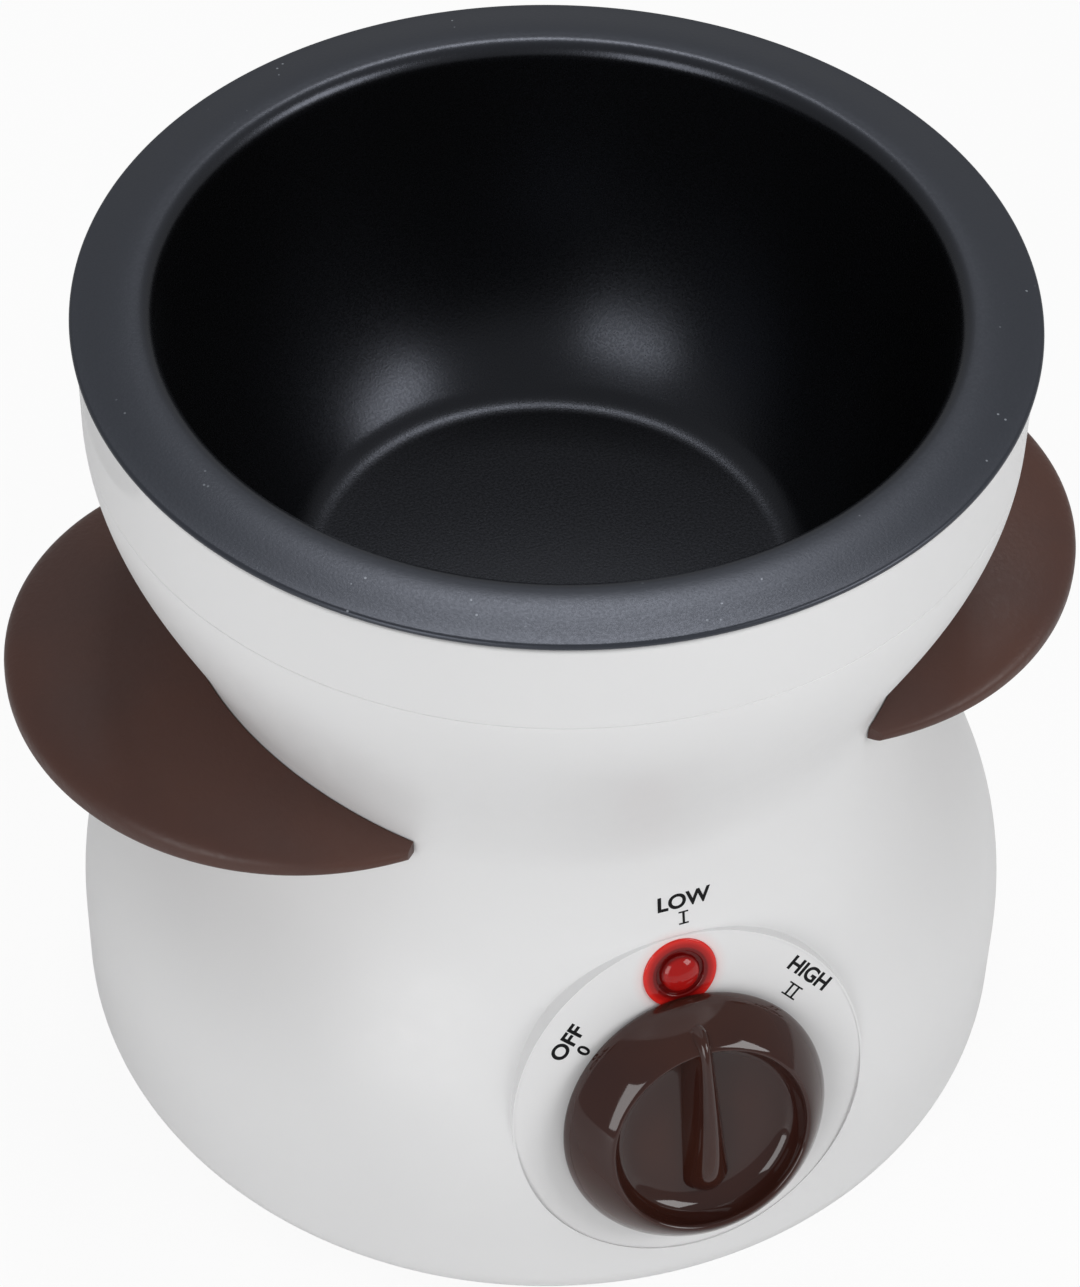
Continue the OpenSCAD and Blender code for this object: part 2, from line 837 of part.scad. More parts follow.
module control_knob() {
    low_r = knob_r * skirt_in_share;
    roof_z = recess_z - cap_t;
    color(brown_colour)
        on_pad()
            difference() {
                union() {
                    revolve(concat(
                        [[low_r, knob_gap]],
                        dome_line,
                        [
                            [(ring_r + recess_r) / 2, knob_top - recess_lip / 4],
                            [recess_r, knob_top - recess_lip],
                            [recess_r - recess_draft, recess_z],
                            [0, recess_z],
                            [0, roof_z],
                            [knob_inside_r, roof_z],
                            [low_r - knob_wall, knob_gap]
                        ]));
                    translate([0, 0, hub_base])
                        cylinder(r = hub_r, h = roof_z - hub_base + cap_t / 2);
                    blade();
                }
                translate([0, 0, hub_base - cut])
                    intersection() {
                        cylinder(r = shaft_r + run, h = shaft_top + slip + cut - hub_base);
                        translate([-hub_r, -hub_r, 0])
                            cube([hub_r + shaft_r - flat_d + spring_t + 2 * slip, 2 * hub_r, knob_top]);
                    }
            }
}

module knob_spring() {
    color(steel_colour)
        on_pad()
            translate([shaft_r - flat_d + slip, -shaft_r / 3, hub_base])
                cube([spring_t, 2 * shaft_r / 3, shaft_top - hub_base]);
}

module switch_shaft() {
    rotor_base = switch_back + rotor_lift;
    color(steel_colour)
        on_pad()
            difference() {
                union() {
                    translate([0, 0, rotor_base])
                        cylinder(r = shaft_r, h = shaft_top - rotor_base);
                    translate([0, 0, rotor_base])
                        cylinder(r = rotor_r, h = rotor_t);
                }
                translate([shaft_r - flat_d, -shaft_r, hub_base - hub_gap])
                    cube([shaft_r, 2 * shaft_r, shaft_top - hub_base + hub_gap + cut]);
            }
}

module rotary_switch() {
    color(black_colour)
        on_pad()
            difference() {
                union() {
                    translate([-switch_w / 2, -switch_h / 2, switch_back])
                        cube([switch_w, switch_h, switch_d]);
                    translate([0, 0, switch_back + switch_d / 2])
                        cylinder(r = bush_r, h = bush_out - switch_back - switch_d / 2);
                    for (x = [-tab_pitch, 0, tab_pitch])
                        translate([x - tab_t / 2, -tab_w / 2, switch_back - tab_len])
                            cube([tab_t, tab_w, tab_len + tab_t]);
                }
                translate([0, 0, switch_back + rotor_lift])
                    cylinder(r = shaft_r + run, h = 2 * pad_r);
                translate([0, 0, switch_back + rotor_lift - fit])
                    cylinder(r = rotor_r + fit, h = rotor_t + 2 * fit);
            }
}

module switch_nut() {
    color(steel_colour)
        on_pad()
            difference() {
                translate([0, 0, -well_d])
                    cylinder(r = nut_flats / 2 / cos(30), h = nut_t, $fn = 6);
                translate([0, 0, -well_d - cut])
                    cylinder(r = bush_r + slip, h = nut_t + 2 * cut);
            }
}

module at_lens() {
    on_pad()
        translate([0, lens_up, 0])
            children();
}

module indicator_lens() {
    dome = arc([0, lens_t - lens_groove], dome_r, 0, 90, 6);
    color(lens_colour)
        at_lens()
            revolve(concat(
                [
                    [stem_bore_r, -stem_len],
                    [stem_r, -stem_len],
                    [stem_r, 0],
                    [lens_r, 0],
                    [lens_r, lens_t - lens_groove / 2],
                    [lens_r - lens_groove / 2, lens_t],
                    [dome_r + groove_w, lens_t],
                    [dome_r + groove_w, lens_t - lens_groove]
                ],
                [for (p = dome) [p.x, lens_t - lens_groove + (p.y - lens_t + lens_groove) * dome_share]],
                [[0, -lens_t], [stem_bore_r, -lens_t]]));
}

module lens_retainer() {
    color(steel_colour)
        at_lens()
            translate([0, 0, -pad_wall - clip_t])
                tube_ring(clip_r, stem_r + slip, clip_t);
}

module neon_lamp() {
    bulb_top = -2 * lens_t;
    color([0.95, 0.6, 0.4])
        at_lens()
            union() {
                translate([0, 0, bulb_r - stem_len])
                    cylinder(r = bulb_r, h = stem_len + bulb_top - 2 * bulb_r);
                translate([0, 0, bulb_top - bulb_r])
                    sphere(r = bulb_r, $fn = 32);
                for (x = [-bulb_r / 2, bulb_r / 2])
                    translate([x, 0, -stem_len - lamp_leg])
                        cylinder(r = tab_t / 2, h = lamp_leg + 2 * bulb_r, $fn = 16);
            }
}

module at_poles(count) {
    for (i = [0:count - 1])
        translate([(i - (count - 1) / 2) * pole_pitch, 0, 0])
            children();
}

module terminal_block() {
    color(ceramic_colour)
        translate([0, block_y, block_base])
            difference() {
                union() {
                    translate([-block_w / 2, -block_d / 2, 0])
                        cube([block_w, block_d, block_step]);
                    at_poles(block_poles)
                        translate([-pole_half, -block_d / 2 + rib_t, 0])
                            cube([2 * pole_half, block_d - 2 * rib_t, block_h]);
                }
                at_poles(block_poles) {
                    translate([0, 0, block_step / 2])
                        rotate([90, 0, 0])
                            cylinder(r = lead_r + lead_gap, h = block_d + 2 * cut, center = true, $fn = 24);
                    translate([0, 0, block_step / 2])
                        cylinder(r = screw_r, h = block_h, $fn = 24);
                }
                at_poles(block_poles - 1)
                    translate([0, 0, -cut])
                        cylinder(r = small_screw_r + slip, h = block_h + 2 * cut, $fn = 24);
            }
}

module block_screws() {
    color(steel_colour)
        translate([0, block_y, block_base + block_step])
            at_poles(block_poles - 1)
                rotate([180, 0, 0])
                    pan_screw(small_screw_r, block_step + block_post_h / 2, small_head_r, small_head_t);
}

// Leads run through points that are set from the pieces they join
function pad_place(x, y, z) = [x, -pad_out + y * sin(knob_tilt) - z * cos(knob_tilt),
    pad_z + y * cos(knob_tilt) + z * sin(knob_tilt)];
function spline_at(a, b, c, d, t) = (2 * b + (c - a) * t + (2 * a - 5 * b + 4 * c - d) * t * t
    + (3 * b - a - 3 * c + d) * t * t * t) / 2;
function smooth_path(p, steps) = let (n = len(p) - 1) concat(
    [for (i = [0:n - 1], s = [0:steps - 1])
        spline_at(p[max(i - 1, 0)], p[i], p[i + 1], p[min(i + 2, n)], s / steps)],
    [p[n]]);
function ring_at(p, i, r) = let (t = along(p, i), u = unit(cross(t, [1, 0, 0])), v = cross(t, u))
    [for (k = [0:lead_sides - 1]) let (a = 360 * k / lead_sides) p[i] + r * (cos(a) * u + sin(a) * v)];

module lead(places) {
    path = smooth_path(places, lead_steps);
    skin([for (i = [0:len(path) - 1]) ring_at(path, i, lead_r)]);
}

function switch_end(x, out) = pad_place(x, 0, switch_back - tab_len - out);
function pin_end(side, out) = let (a = side * pin_a - 90, r = element_r + pin_out + out)
    [r * cos(a), r * sin(a), element_z];
function block_end(pole) = let (x = pole * pole_pitch, y = block_y - block_d / 2) [
    [x, y - lead_start, block_base + block_step / 2],
    [x, y, block_base + block_step / 2],
    [x, y + lead_plug, block_base + block_step / 2]];

module lead_supply() {
    color(black_colour)
        lead(concat(
            [switch_end(tab_pitch, lead_joint), switch_end(tab_pitch, lead_start)],
            [[tab_pitch, -waist_r / 2, block_base + block_h]],
            block_end(1)));
}

// The leads to the element pass between the heat shield's edge and the waist
function beside_shield(side, z) = let (a = side * pin_a - 90)
    [shield_pass_r * cos(a), shield_pass_r * sin(a), z];

module lead_heater() {
    color(brown_colour)
        lead([
            switch_end(-tab_pitch, lead_joint),
            switch_end(-tab_pitch, lead_start),
            beside_shield(-1, (pad_z + shield_z) / 2),
            beside_shield(-1, shield_z),
            pin_end(-1, lead_start),
            pin_end(-1, lead_joint)]);
}

module lead_return() {
    color(ceramic_colour)
        lead(concat(
            [
                pin_end(1, lead_joint),
                pin_end(1, lead_start),
                beside_shield(1, shield_z),
                beside_shield(1, (pad_z + shield_z) / 2),
                [shield_r / 2, -shield_r / 2, pad_z],
                [shield_r / 4, 0, block_base + block_h]
            ],
            block_end(0)));
}

module at_gland() {
    translate([0, gland_y, gland_z])
        rotate([-90, 0, 0])
            children();
}

module cord_gland() {
    color(black_colour)
        at_gland()
            revolve([
                [gland_bore_r, -gland_len],
                [gland_body_r, -gland_len],
                [gland_body_r, 0],
                [gland_flange_r, 0],
                [gland_flange_r, gland_flange_t - gland_edge],
                [gland_flange_r - gland_edge, gland_flange_t],
                [gland_bore_r + gland_edge, gland_flange_t],
                [gland_bore_r, gland_flange_t - gland_edge]
            ]);
}

module gland_nut() {
    color(black_colour)
        translate([0, gland_nut_y, gland_z])
            rotate([-90, 0, 0])
                difference() {
                    cylinder(r = gland_nut_r, h = gland_nut_t, $fn = 6);
                    translate([0, 0, -cut])
                        cylinder(r = gland_body_r + slip, h = gland_nut_t + 2 * cut);
                }
}

module at_foot(i) {
    rotate([0, 0, 90 * i - 45])
        translate([foot_place_r, 0, 0])
            children();
}

module vent_slot() {
    translate([vent_in_r, -vent_w / 2, 0])
        cube([vent_out_r - vent_in_r, vent_w, base_t + 2 * cut]);
    for (x = [vent_in_r, vent_out_r])
        translate([x, 0, 0])
            cylinder(r = vent_w / 2, h = base_t + 2 * cut, $fn = 24);
}

module base_plate() {
    color(brown_colour)
        difference() {
            union() {
                translate([0, 0, base_lift])
                    cylinder(r = plate_edge_r, h = base_t);
                translate([0, block_y, base_top])
                    at_poles(block_poles - 1)
                        cylinder(r = post_r, h = block_post_h);
            }
            for (i = [1:4])
                at_foot(i) {
                    translate([0, 0, base_lift - cut])
                        cylinder(r = foot_r + slip, h = foot_pocket + cut);
                    translate([0, 0, base_lift])
                        cylinder(r = foot_stem_r + slip, h = base_t + cut);
                }
            at_base_screws() {
                translate([0, 0, base_lift - cut])
                    cylinder(r = screw_head_r + slip, h = base_head_t + cut);
                translate([0, 0, base_lift])
                    cylinder(r = screw_r + slip, h = base_t + cut);
            }
            translate([0, block_y, base_top + block_post_h / 3])
                at_poles(block_poles - 1)
                    cylinder(r = small_screw_r + run, h = block_post_h);
            for (i = [0:vent_count - 1])
                rotate([0, 0, 180 + 180 * i / (vent_count - 1)])
                    translate([0, 0, base_lift - cut])
                        vent_slot();
        }
}

module foot(i) {
    seat = base_lift + foot_pocket;
    color(black_colour)
        at_foot(i)
            revolve([
                [0, 0],
                [foot_r - foot_edge, 0],
                [foot_r, foot_edge],
                [foot_r, seat],
                [foot_stem_r, seat],
                [foot_stem_r, base_top],
                [foot_knob_r, base_top],
                [foot_stem_r, base_top + foot_knob_h],
                [0, base_top + foot_knob_h]
            ]);
}

module base_screws() {
    color(steel_colour)
        at_base_screws()
            translate([0, 0, base_lift + base_head_t])
                pan_screw(screw_r, base_screw_len, screw_head_r, base_head_t);
}

inner_pot();
upper_collar();
housing_shell();
left_handle();
right_handle();
handle_screws();
heater_bowl();
heater_plate();
heating_element();
thermostat();
thermostat_screws();
thermal_fuse();
heat_shield();
shield_posts();
shield_screws();
control_knob();
knob_spring();
switch_shaft();
rotary_switch();
switch_nut();
indicator_lens();
lens_retainer();
neon_lamp();
terminal_block();
block_screws();
lead_supply();
lead_heater();
lead_return();
cord_gland();
gland_nut();
base_plate();
foot(1);  // foot_1
foot(2);  // foot_2
foot(3);  // foot_3
foot(4);  // foot_4
base_screws();
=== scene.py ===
import math
from bisect import bisect_left

import bmesh
import bpy
from mathutils import Matrix, Vector
from mathutils.bvhtree import BVHTree
from mathutils.geometry import interpolate_bezier


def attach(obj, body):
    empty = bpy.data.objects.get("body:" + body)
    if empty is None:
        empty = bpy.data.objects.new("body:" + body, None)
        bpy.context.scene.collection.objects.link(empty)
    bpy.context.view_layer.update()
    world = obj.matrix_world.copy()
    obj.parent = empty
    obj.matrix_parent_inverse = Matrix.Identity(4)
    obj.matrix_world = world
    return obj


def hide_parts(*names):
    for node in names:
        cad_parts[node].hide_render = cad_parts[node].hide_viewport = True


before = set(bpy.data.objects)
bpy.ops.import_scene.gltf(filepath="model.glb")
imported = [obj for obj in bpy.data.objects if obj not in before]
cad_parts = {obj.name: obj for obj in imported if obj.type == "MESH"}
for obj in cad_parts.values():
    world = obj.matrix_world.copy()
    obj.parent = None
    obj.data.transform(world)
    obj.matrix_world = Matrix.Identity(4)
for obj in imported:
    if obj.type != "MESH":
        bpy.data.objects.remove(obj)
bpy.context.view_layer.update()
mm = 0.001
weld = 1e-7                  # metres under which points are merged
print("frame loaded:", len(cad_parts), "nodes")


# Camera: fitted to the photograph's rim, seam and base, in degrees and millimetres

cameraView = {
    "azimuth": -20.6,        # towards the handle at -X
    "elevation": 45.74,
    "roll": 1.54,
    "distance": 542.5,       # from the middle of the rim
    "right": -1.09,
    "up": -46.94,
    "rimHeight": 136.0,
    "focalPixels": 4000,
    "imageHeight": 1287,
    "sensor": 36.0,
    "clip": (0.02, 20),      # metres
}


def makeCamera(view):
    around, over = math.radians(view["azimuth"]), math.radians(view["elevation"])
    back = Vector((math.sin(around) * math.cos(over), -math.cos(around) * math.cos(over), math.sin(over)))
    right = Vector((math.cos(around), math.sin(around), 0))
    up = back.cross(right)
    data = bpy.data.cameras.new("camera")
    data.sensor_width = view["sensor"]
    data.lens = view["focalPixels"] * view["sensor"] / view["imageHeight"]
    data.clip_start, data.clip_end = view["clip"]
    camera = bpy.data.objects.new("camera", data)
    place = Vector((0, 0, view["rimHeight"])) + back * view["distance"] \
        + right * view["right"] + up * view["up"]
    turn = Matrix((right, up, back)).transposed() @ Matrix.Rotation(math.radians(view["roll"]), 3, "Z")
    camera.matrix_world = Matrix.Translation(place * mm) @ turn.to_4x4()
    bpy.context.scene.collection.objects.link(camera)
    bpy.context.scene.camera = camera


makeCamera(cameraView)
print("camera ready")


# Outlines: runs of (radius, height) points in millimetres

def bezierRun(first, firstArm, secondArm, second, steps):
    knots = [Vector((p[0], 0, p[1])) for p in (first, firstArm, secondArm, second)]
    points = interpolate_bezier(*knots, steps + 1)
    return [(p.x, p.z) for p in points]


def arcRun(centre, radius, fromAngle, toAngle, steps):
    angles = [math.radians(fromAngle + (toAngle - fromAngle) * i / steps) for i in range(steps + 1)]
    return [(centre[0] + radius * math.cos(a), centre[1] + radius * math.sin(a)) for a in angles]


def straightRun(first, second, steps):
    return [(first[0] + (second[0] - first[0]) * i / steps, first[1] + (second[1] - first[1]) * i / steps)
            for i in range(steps + 1)]


# Housing: the waisted shell, its wall and the tongue inside the collar

housing = {
    "seam": 120.2, "top": 65.3, "waist": (52.0, 77.0), "belly": (70.8, 20.0), "corner": 7.5, "lift": 1.5,
    "wall": 2.6, "opening": 62.0, "edge": 0.18, "flareShares": (0.36, 0.28), "swellShares": (0.48, 0.52),
    "flareSteps": 48, "swellSteps": 72, "sideSteps": 12, "cornerSteps": 18, "edgeSteps": 4, "turns": 360,
    "wallFrom": 8,           # steps of the flare that pass before the inner wall starts
    "wallFoot": 4.0, "wallHead": 1.0,
    "tongueOut": 62.4, "tongueIn": 60.4, "tongueTop": 125.2, "tongueEdge": 0.4,
}
gland = {
    "flat": 70.2, "height": 18.0, "radius": 7.8, "bore": 5.1, "inside": 20.0, "outside": 9.0, "turns": 64,
}


def shellLine():
    top = housing["top"]
    waist, belly, corner = housing["waist"], housing["belly"], housing["corner"]
    flareH, swellH = housing["seam"] - waist[1], waist[1] - belly[1]
    flare = bezierRun((top, housing["seam"]), (top, housing["seam"] - housing["flareShares"][0] * flareH),
                      (waist[0], waist[1] + housing["flareShares"][1] * flareH), waist, housing["flareSteps"])
    swell = bezierRun(waist, (waist[0], waist[1] - housing["swellShares"][0] * swellH),
                      (belly[0], belly[1] + housing["swellShares"][1] * swellH), belly, housing["swellSteps"])
    side = straightRun(belly, (belly[0], housing["lift"] + corner), housing["sideSteps"])
    under = arcRun((belly[0] - corner, housing["lift"] + corner), corner, 0, -90, housing["cornerSteps"])
    return flare, swell, side, under


shellRuns = shellLine()
shellTable = sorted((z, r) for run in shellRuns[:3] for r, z in run)


def shellRadius(height):
    i = min(max(bisect_left(shellTable, (height, 0)), 1), len(shellTable) - 1)
    (z1, r1), (z2, r2) = shellTable[i - 1], shellTable[i]
    share = min(max((height - z1) / (z2 - z1), 0), 1) if z2 > z1 else 0
    return r1 + (r2 - r1) * share


# Control pad: its own frame has x along the object's x, y up the pad and z outwards

pad = {
    "height": 34.8, "tilt": 18.6, "radius": 26.4, "up": 2.7, "recess": 0.9, "raise": 0.7, "lean": 1.0,
    "plate": 2.2, "plateOver": 0.6, "plateProud": 0.1, "bossProud": 0.2,
    "well": 9.0, "wellDepth": 4.6, "wellWall": 2.4, "bush": 4.6, "lensUp": 23.4, "stem": 3.8,
    "above": 3.0, "far": 30.0,                           # reach of the cutters past the face
    "pocketTurns": 256, "plateTurns": 128, "wellTurns": 96, "stemTurns": 64,
}
padTilt = math.radians(pad["tilt"])
padOut = math.sqrt(shellRadius(pad["height"]) ** 2 - pad["radius"] ** 2) - pad["recess"]
padOrigin = Vector((0, -padOut, pad["height"]))
padUp = Vector((0, math.sin(padTilt), math.cos(padTilt)))
padNormal = Vector((0, -math.cos(padTilt), math.sin(padTilt)))
padTurn = Matrix(((1, 0, 0), padUp, padNormal)).transposed()
padPlace = Matrix.Translation(padOrigin * mm) @ padTurn.to_4x4()
print("pad stands", round(padOut, 3), "mm out")


# Shader maths: a wrapped socket that takes part in Python expressions

class Wire:
    def __init__(self, tree, socket):
        self.tree = tree
        self.socket = socket

    def combine(self, operation, first, second):
        node = self.tree.nodes.new("ShaderNodeMath")
        node.operation = operation
        connect(self.tree, node.inputs[0], first)
        connect(self.tree, node.inputs[1], second)
        return Wire(self.tree, node.outputs[0])

    def __add__(self, other):
        return self.combine("ADD", self, other)

    def __sub__(self, other):
        return self.combine("SUBTRACT", self, other)

    def __rsub__(self, other):
        return self.combine("SUBTRACT", other, self)

    def __mul__(self, other):
        return self.combine("MULTIPLY", self, other)

    def __pow__(self, other):
        return self.combine("POWER", self, other)

    __radd__ = __add__
    __rmul__ = __mul__


def connect(tree, slot, value):
    if isinstance(value, Wire):
        tree.links.new(value.socket, slot)
    else:
        slot.default_value = value


noiseBands = {"cloud": (0.35, 0.65), "grain": (0.3, 0.7)}    # the part of a noise that is spread out


class Finish:
    def __init__(self, name, settings):
        self.material = bpy.data.materials.new(name)
        self.material.use_nodes = True
        self.tree = self.material.node_tree
        self.surface = self.tree.nodes["Principled BSDF"]
        for label, value in settings.items():
            self.surface.inputs[label].default_value = value

    def node(self, kind, settings=None, values=None, output=0):
        node = self.tree.nodes.new(kind)
        for label, value in (settings or {}).items():
            setattr(node, label, value)
        for label, value in (values or {}).items():
            connect(self.tree, node.inputs[label], value)
        return Wire(self.tree, node.outputs[output])

    def shade(self, label, wire):
        connect(self.tree, self.surface.inputs[label], wire)

    def position(self):
        return self.node("ShaderNodeTexCoord", output=3)

    def axis(self, spot, number):
        return self.node("ShaderNodeSeparateXYZ", {}, {"Vector": spot}, output=number)

    def noise(self, scale, detail=2.0, stretch=None):
        spot = self.position()
        if stretch:
            spot = self.node("ShaderNodeMapping", {}, {"Vector": spot, "Scale": stretch})
        return self.node("ShaderNodeTexNoise", {"noise_dimensions": "3D"},
                         {"Vector": spot, "Scale": scale, "Detail": detail})

    def spread(self, wire, low, high, toLow=0.0, toHigh=1.0):
        return self.node("ShaderNodeMapRange", {"clamp": True, "interpolation_type": "SMOOTHSTEP"},
                         {"Value": wire, "From Min": low, "From Max": high,
                          "To Min": toLow, "To Max": toHigh})

    def blendColours(self, factor, first, second):
        return self.node("ShaderNodeMix", {"data_type": "RGBA"}, {0: factor, 6: first, 7: second}, output=2)

    def mottled(self, cloud, first, second):
        return self.blendColours(self.spread(cloud, *noiseBands["cloud"]), first, second)

    def dulled(self, grain, low, high):
        return self.spread(grain, *noiseBands["grain"], low, high)

    def bump(self, height, strength, distance):
        self.shade("Normal", self.node("ShaderNodeBump", {},
                                       {"Height": height, "Strength": strength, "Distance": distance}))


def rgb(red, green, blue):
    return (red, green, blue, 1.0)


# Finishes: noises are given as (scale, detail), bumps as (strength, metres)

def whiteMoulding():
    look = {"colour": rgb(0.82, 0.82, 0.825), "shade": rgb(0.80, 0.80, 0.805), "cloud": (18.0, 3.0),
            "glow": rgb(0.86, 0.30, 0.26), "glowShare": 0.22, "glowFrom": 5.2, "glowTo": 7.6,
            "sheen": (400.0, 2.0), "roughness": (0.36, 0.42), "grain": (1500.0, 2.0), "bump": (0.06, 0.0002)}
    finish = Finish("whiteMoulding", {"IOR": 1.5})
    tone = finish.mottled(finish.noise(*look["cloud"]), look["colour"], look["shade"])
    # The lamp's glow painted into the pad's colour as painted light, in millimetres from the lens's middle
    lampSpot = padPlace @ (Vector((0, pad["lensUp"], 0)) * mm)
    away = finish.node("ShaderNodeVectorMath", {"operation": "DISTANCE"},
                       {0: finish.position(), 1: lampSpot}, 1)
    glow = finish.spread(away * 1000, look["glowFrom"], look["glowTo"], look["glowShare"], 0.0)
    finish.shade("Base Color", finish.blendColours(glow, tone, look["glow"]))
    finish.shade("Roughness", finish.dulled(finish.noise(*look["sheen"]), *look["roughness"]))
    finish.bump(finish.noise(*look["grain"]), *look["bump"])
    return finish.material


def potCoating():
    look = {"flange": rgb(0.024, 0.027, 0.034), "inside": rgb(0.0022, 0.0022, 0.0024),
            "flangeFrom": 0.0545, "flangeTo": 0.0575, "speck": rgb(0.25, 0.27, 0.3), "speckScale": 420.0,
            "speckSize": (0.05, 0.09), "patch": (60.0, 1.0), "patchBand": (0.52, 0.62),
            "grain": (2500.0, 2.0), "roughness": (0.25, 0.30), "rougher": 0.06, "bump": (0.07, 0.0002)}
    finish = Finish("potCoating", {"Specular IOR Level": 0.62, "Specular Tint": rgb(0.80, 0.85, 1.0)})
    spot = finish.position()
    x, y = finish.axis(spot, 0), finish.axis(spot, 1)
    onFlange = finish.spread((x * x + y * y) ** 0.5, look["flangeFrom"], look["flangeTo"])
    # A few specks of dust in loose patches on the flange
    dust = finish.node("ShaderNodeTexVoronoi", {"feature": "F1"},
                       {"Vector": spot, "Scale": look["speckScale"], "Randomness": 1.0})
    patch = finish.spread(finish.noise(*look["patch"]), *look["patchBand"])
    speck = finish.spread(dust, *look["speckSize"], 1.0, 0.0) * patch * onFlange
    # Painted shade: the pot's inside is painted near black, far darker than the same coating on the flange,
    # for the shade in its hollow
    tone = finish.blendColours(onFlange, look["inside"], look["flange"])
    finish.shade("Base Color", finish.blendColours(speck, tone, look["speck"]))
    grain = finish.noise(*look["grain"])
    finish.shade("Roughness", onFlange * look["rougher"] + finish.dulled(grain, *look["roughness"]))
    finish.bump(grain, *look["bump"])
    return finish.material


def brownMoulding(name, settings, look):
    finish = Finish(name, settings)
    finish.shade("Base Color", finish.mottled(finish.noise(*look["cloud"]), look["colour"], look["warm"]))
    finish.shade("Roughness", finish.dulled(finish.noise(*look["sheen"]), *look["roughness"]))
    finish.bump(finish.noise(*look["grain"]), *look["bump"])
    return finish.material


def redLens():
    # Rings round the lens's own axis, in millimetres: a bright rim, a groove painted dark as painted shade,
    # and the lit dome
    look = {"rim": rgb(0.66, 0.022, 0.016), "groove": rgb(0.10, 0.002, 0.002),
            "dome": rgb(0.36, 0.007, 0.006),
            "grooveStart": (2.4, 2.9), "grooveEnd": (3.9, 4.4), "rimStart": (4.4, 5.4),
            "grooveShadeShare": 0.85, "cloudShare": 0.1, "cloud": (300.0, 2.0)}
    finish = Finish("redLens", {"IOR": 1.5, "Transmission Weight": 0.1, "Roughness": 0.06,
                                "Specular IOR Level": 0.35, "Emission Strength": 0.15})
    spot = finish.node("ShaderNodeMapping", {"vector_type": "POINT"}, {
        "Vector": finish.position(), "Location": -(padTurn.transposed() @ padOrigin) * mm,
        "Rotation": (math.radians(pad["tilt"] - 90), 0, 0)})
    across, along = finish.axis(spot, 0), finish.axis(spot, 1) - pad["lensUp"] * mm
    radius = (across * across + along * along) ** 0.5 * 1000
    # Painted shade in the groove, mixed with a little random cloud
    groove = finish.spread(radius, *look["grooveStart"]) * finish.spread(radius, *look["grooveEnd"], 1.0, 0.0)
    grooveShadeAndCloud = groove * look["grooveShadeShare"] + finish.noise(*look["cloud"]) * look["cloudShare"]
    lit = finish.blendColours(finish.spread(radius, *look["rimStart"]), look["dome"], look["rim"])
    tone = finish.blendColours(grooveShadeAndCloud, lit, look["groove"])
    finish.shade("Base Color", tone)
    finish.shade("Emission Color", tone)
    return finish.material


plainLook = {"darker": 0.86, "cloudShare": 1 / 8, "detail": 3.0, "roughBand": 0.05, "bumpDepth": 0.0002}


def plainFinish(name, colour, roughness, metallic=0.0, grain=600.0, depth=0.1, stretch=None, extra=None):
    finish = Finish(name, {"Metallic": metallic, **(extra or {})})
    darker = rgb(*[part * plainLook["darker"] for part in colour[:3]])
    cloud = finish.noise(grain * plainLook["cloudShare"], plainLook["detail"])
    finish.shade("Base Color", finish.mottled(cloud, colour, darker))
    fine = finish.noise(grain, plainLook["detail"], stretch)
    band = plainLook["roughBand"]
    finish.shade("Roughness", finish.dulled(fine, roughness - band, roughness + band))
    finish.bump(fine, depth, plainLook["bumpDepth"])
    return finish.material


finishes = {
    "white": whiteMoulding(),
    "coating": potCoating(),
    "brown": brownMoulding("satinBrown", {"Specular IOR Level": 0.38}, {
        "colour": rgb(0.072, 0.033, 0.026), "warm": rgb(0.084, 0.035, 0.025), "cloud": (35.0, 3.0),
        "sheen": (900.0, 3.0), "roughness": (0.40, 0.50), "grain": (1400.0, 3.0), "bump": (0.22, 0.0003)}),
    "gloss": brownMoulding("polishedBrown", {"IOR": 1.5}, {
        "colour": rgb(0.037, 0.012, 0.009), "warm": rgb(0.045, 0.014, 0.009), "cloud": (60.0, 2.0),
        "sheen": (500.0, 2.0), "roughness": (0.05, 0.08), "grain": (220.0, 1.0), "bump": (0.05, 0.0004)}),
    "lens": redLens(),
    "ink": plainFinish("printInk", rgb(0.005, 0.005, 0.006), 0.6, extra={"Specular IOR Level": 0.2}),
    "steel": plainFinish("zincSteel", rgb(0.62, 0.62, 0.63), 0.3, 1.0, 900.0, 0.15),
    "sheet": plainFinish("millSheet", rgb(0.78, 0.78, 0.77), 0.35, 1.0, 500.0, 0.1, (1.0, 6.0, 1.0)),
    "sheath": plainFinish("elementSheath", rgb(0.35, 0.34, 0.33), 0.45, 1.0, 700.0, 0.15),
    "brass": plainFinish("turnedBrass", rgb(0.8, 0.6, 0.28), 0.25, 1.0, 900.0, 0.1),
    "black": plainFinish("blackMoulding", rgb(0.03, 0.03, 0.032), 0.45),
    "ceramic": plainFinish("steatite", rgb(0.82, 0.8, 0.74), 0.55),
    "glass": plainFinish("lampGlass", rgb(0.9, 0.7, 0.5), 0.1, 0.0, 300.0, 0.02, None,
                         {"Transmission Weight": 0.8}),
    "wireBlack": plainFinish("blackInsulation", rgb(0.03, 0.03, 0.03), 0.5),
    "wireBrown": plainFinish("brownInsulation", rgb(0.18, 0.08, 0.05), 0.5),
    "wireWhite": plainFinish("whiteInsulation", rgb(0.78, 0.78, 0.75), 0.5),
    "rubber": plainFinish("footRubber", rgb(0.035, 0.035, 0.035), 0.7, 0.0, 800.0, 0.3),
    "base": plainFinish("brownBase", rgb(0.05, 0.026, 0.021), 0.5),
}
print("finishes ready:", len(finishes))

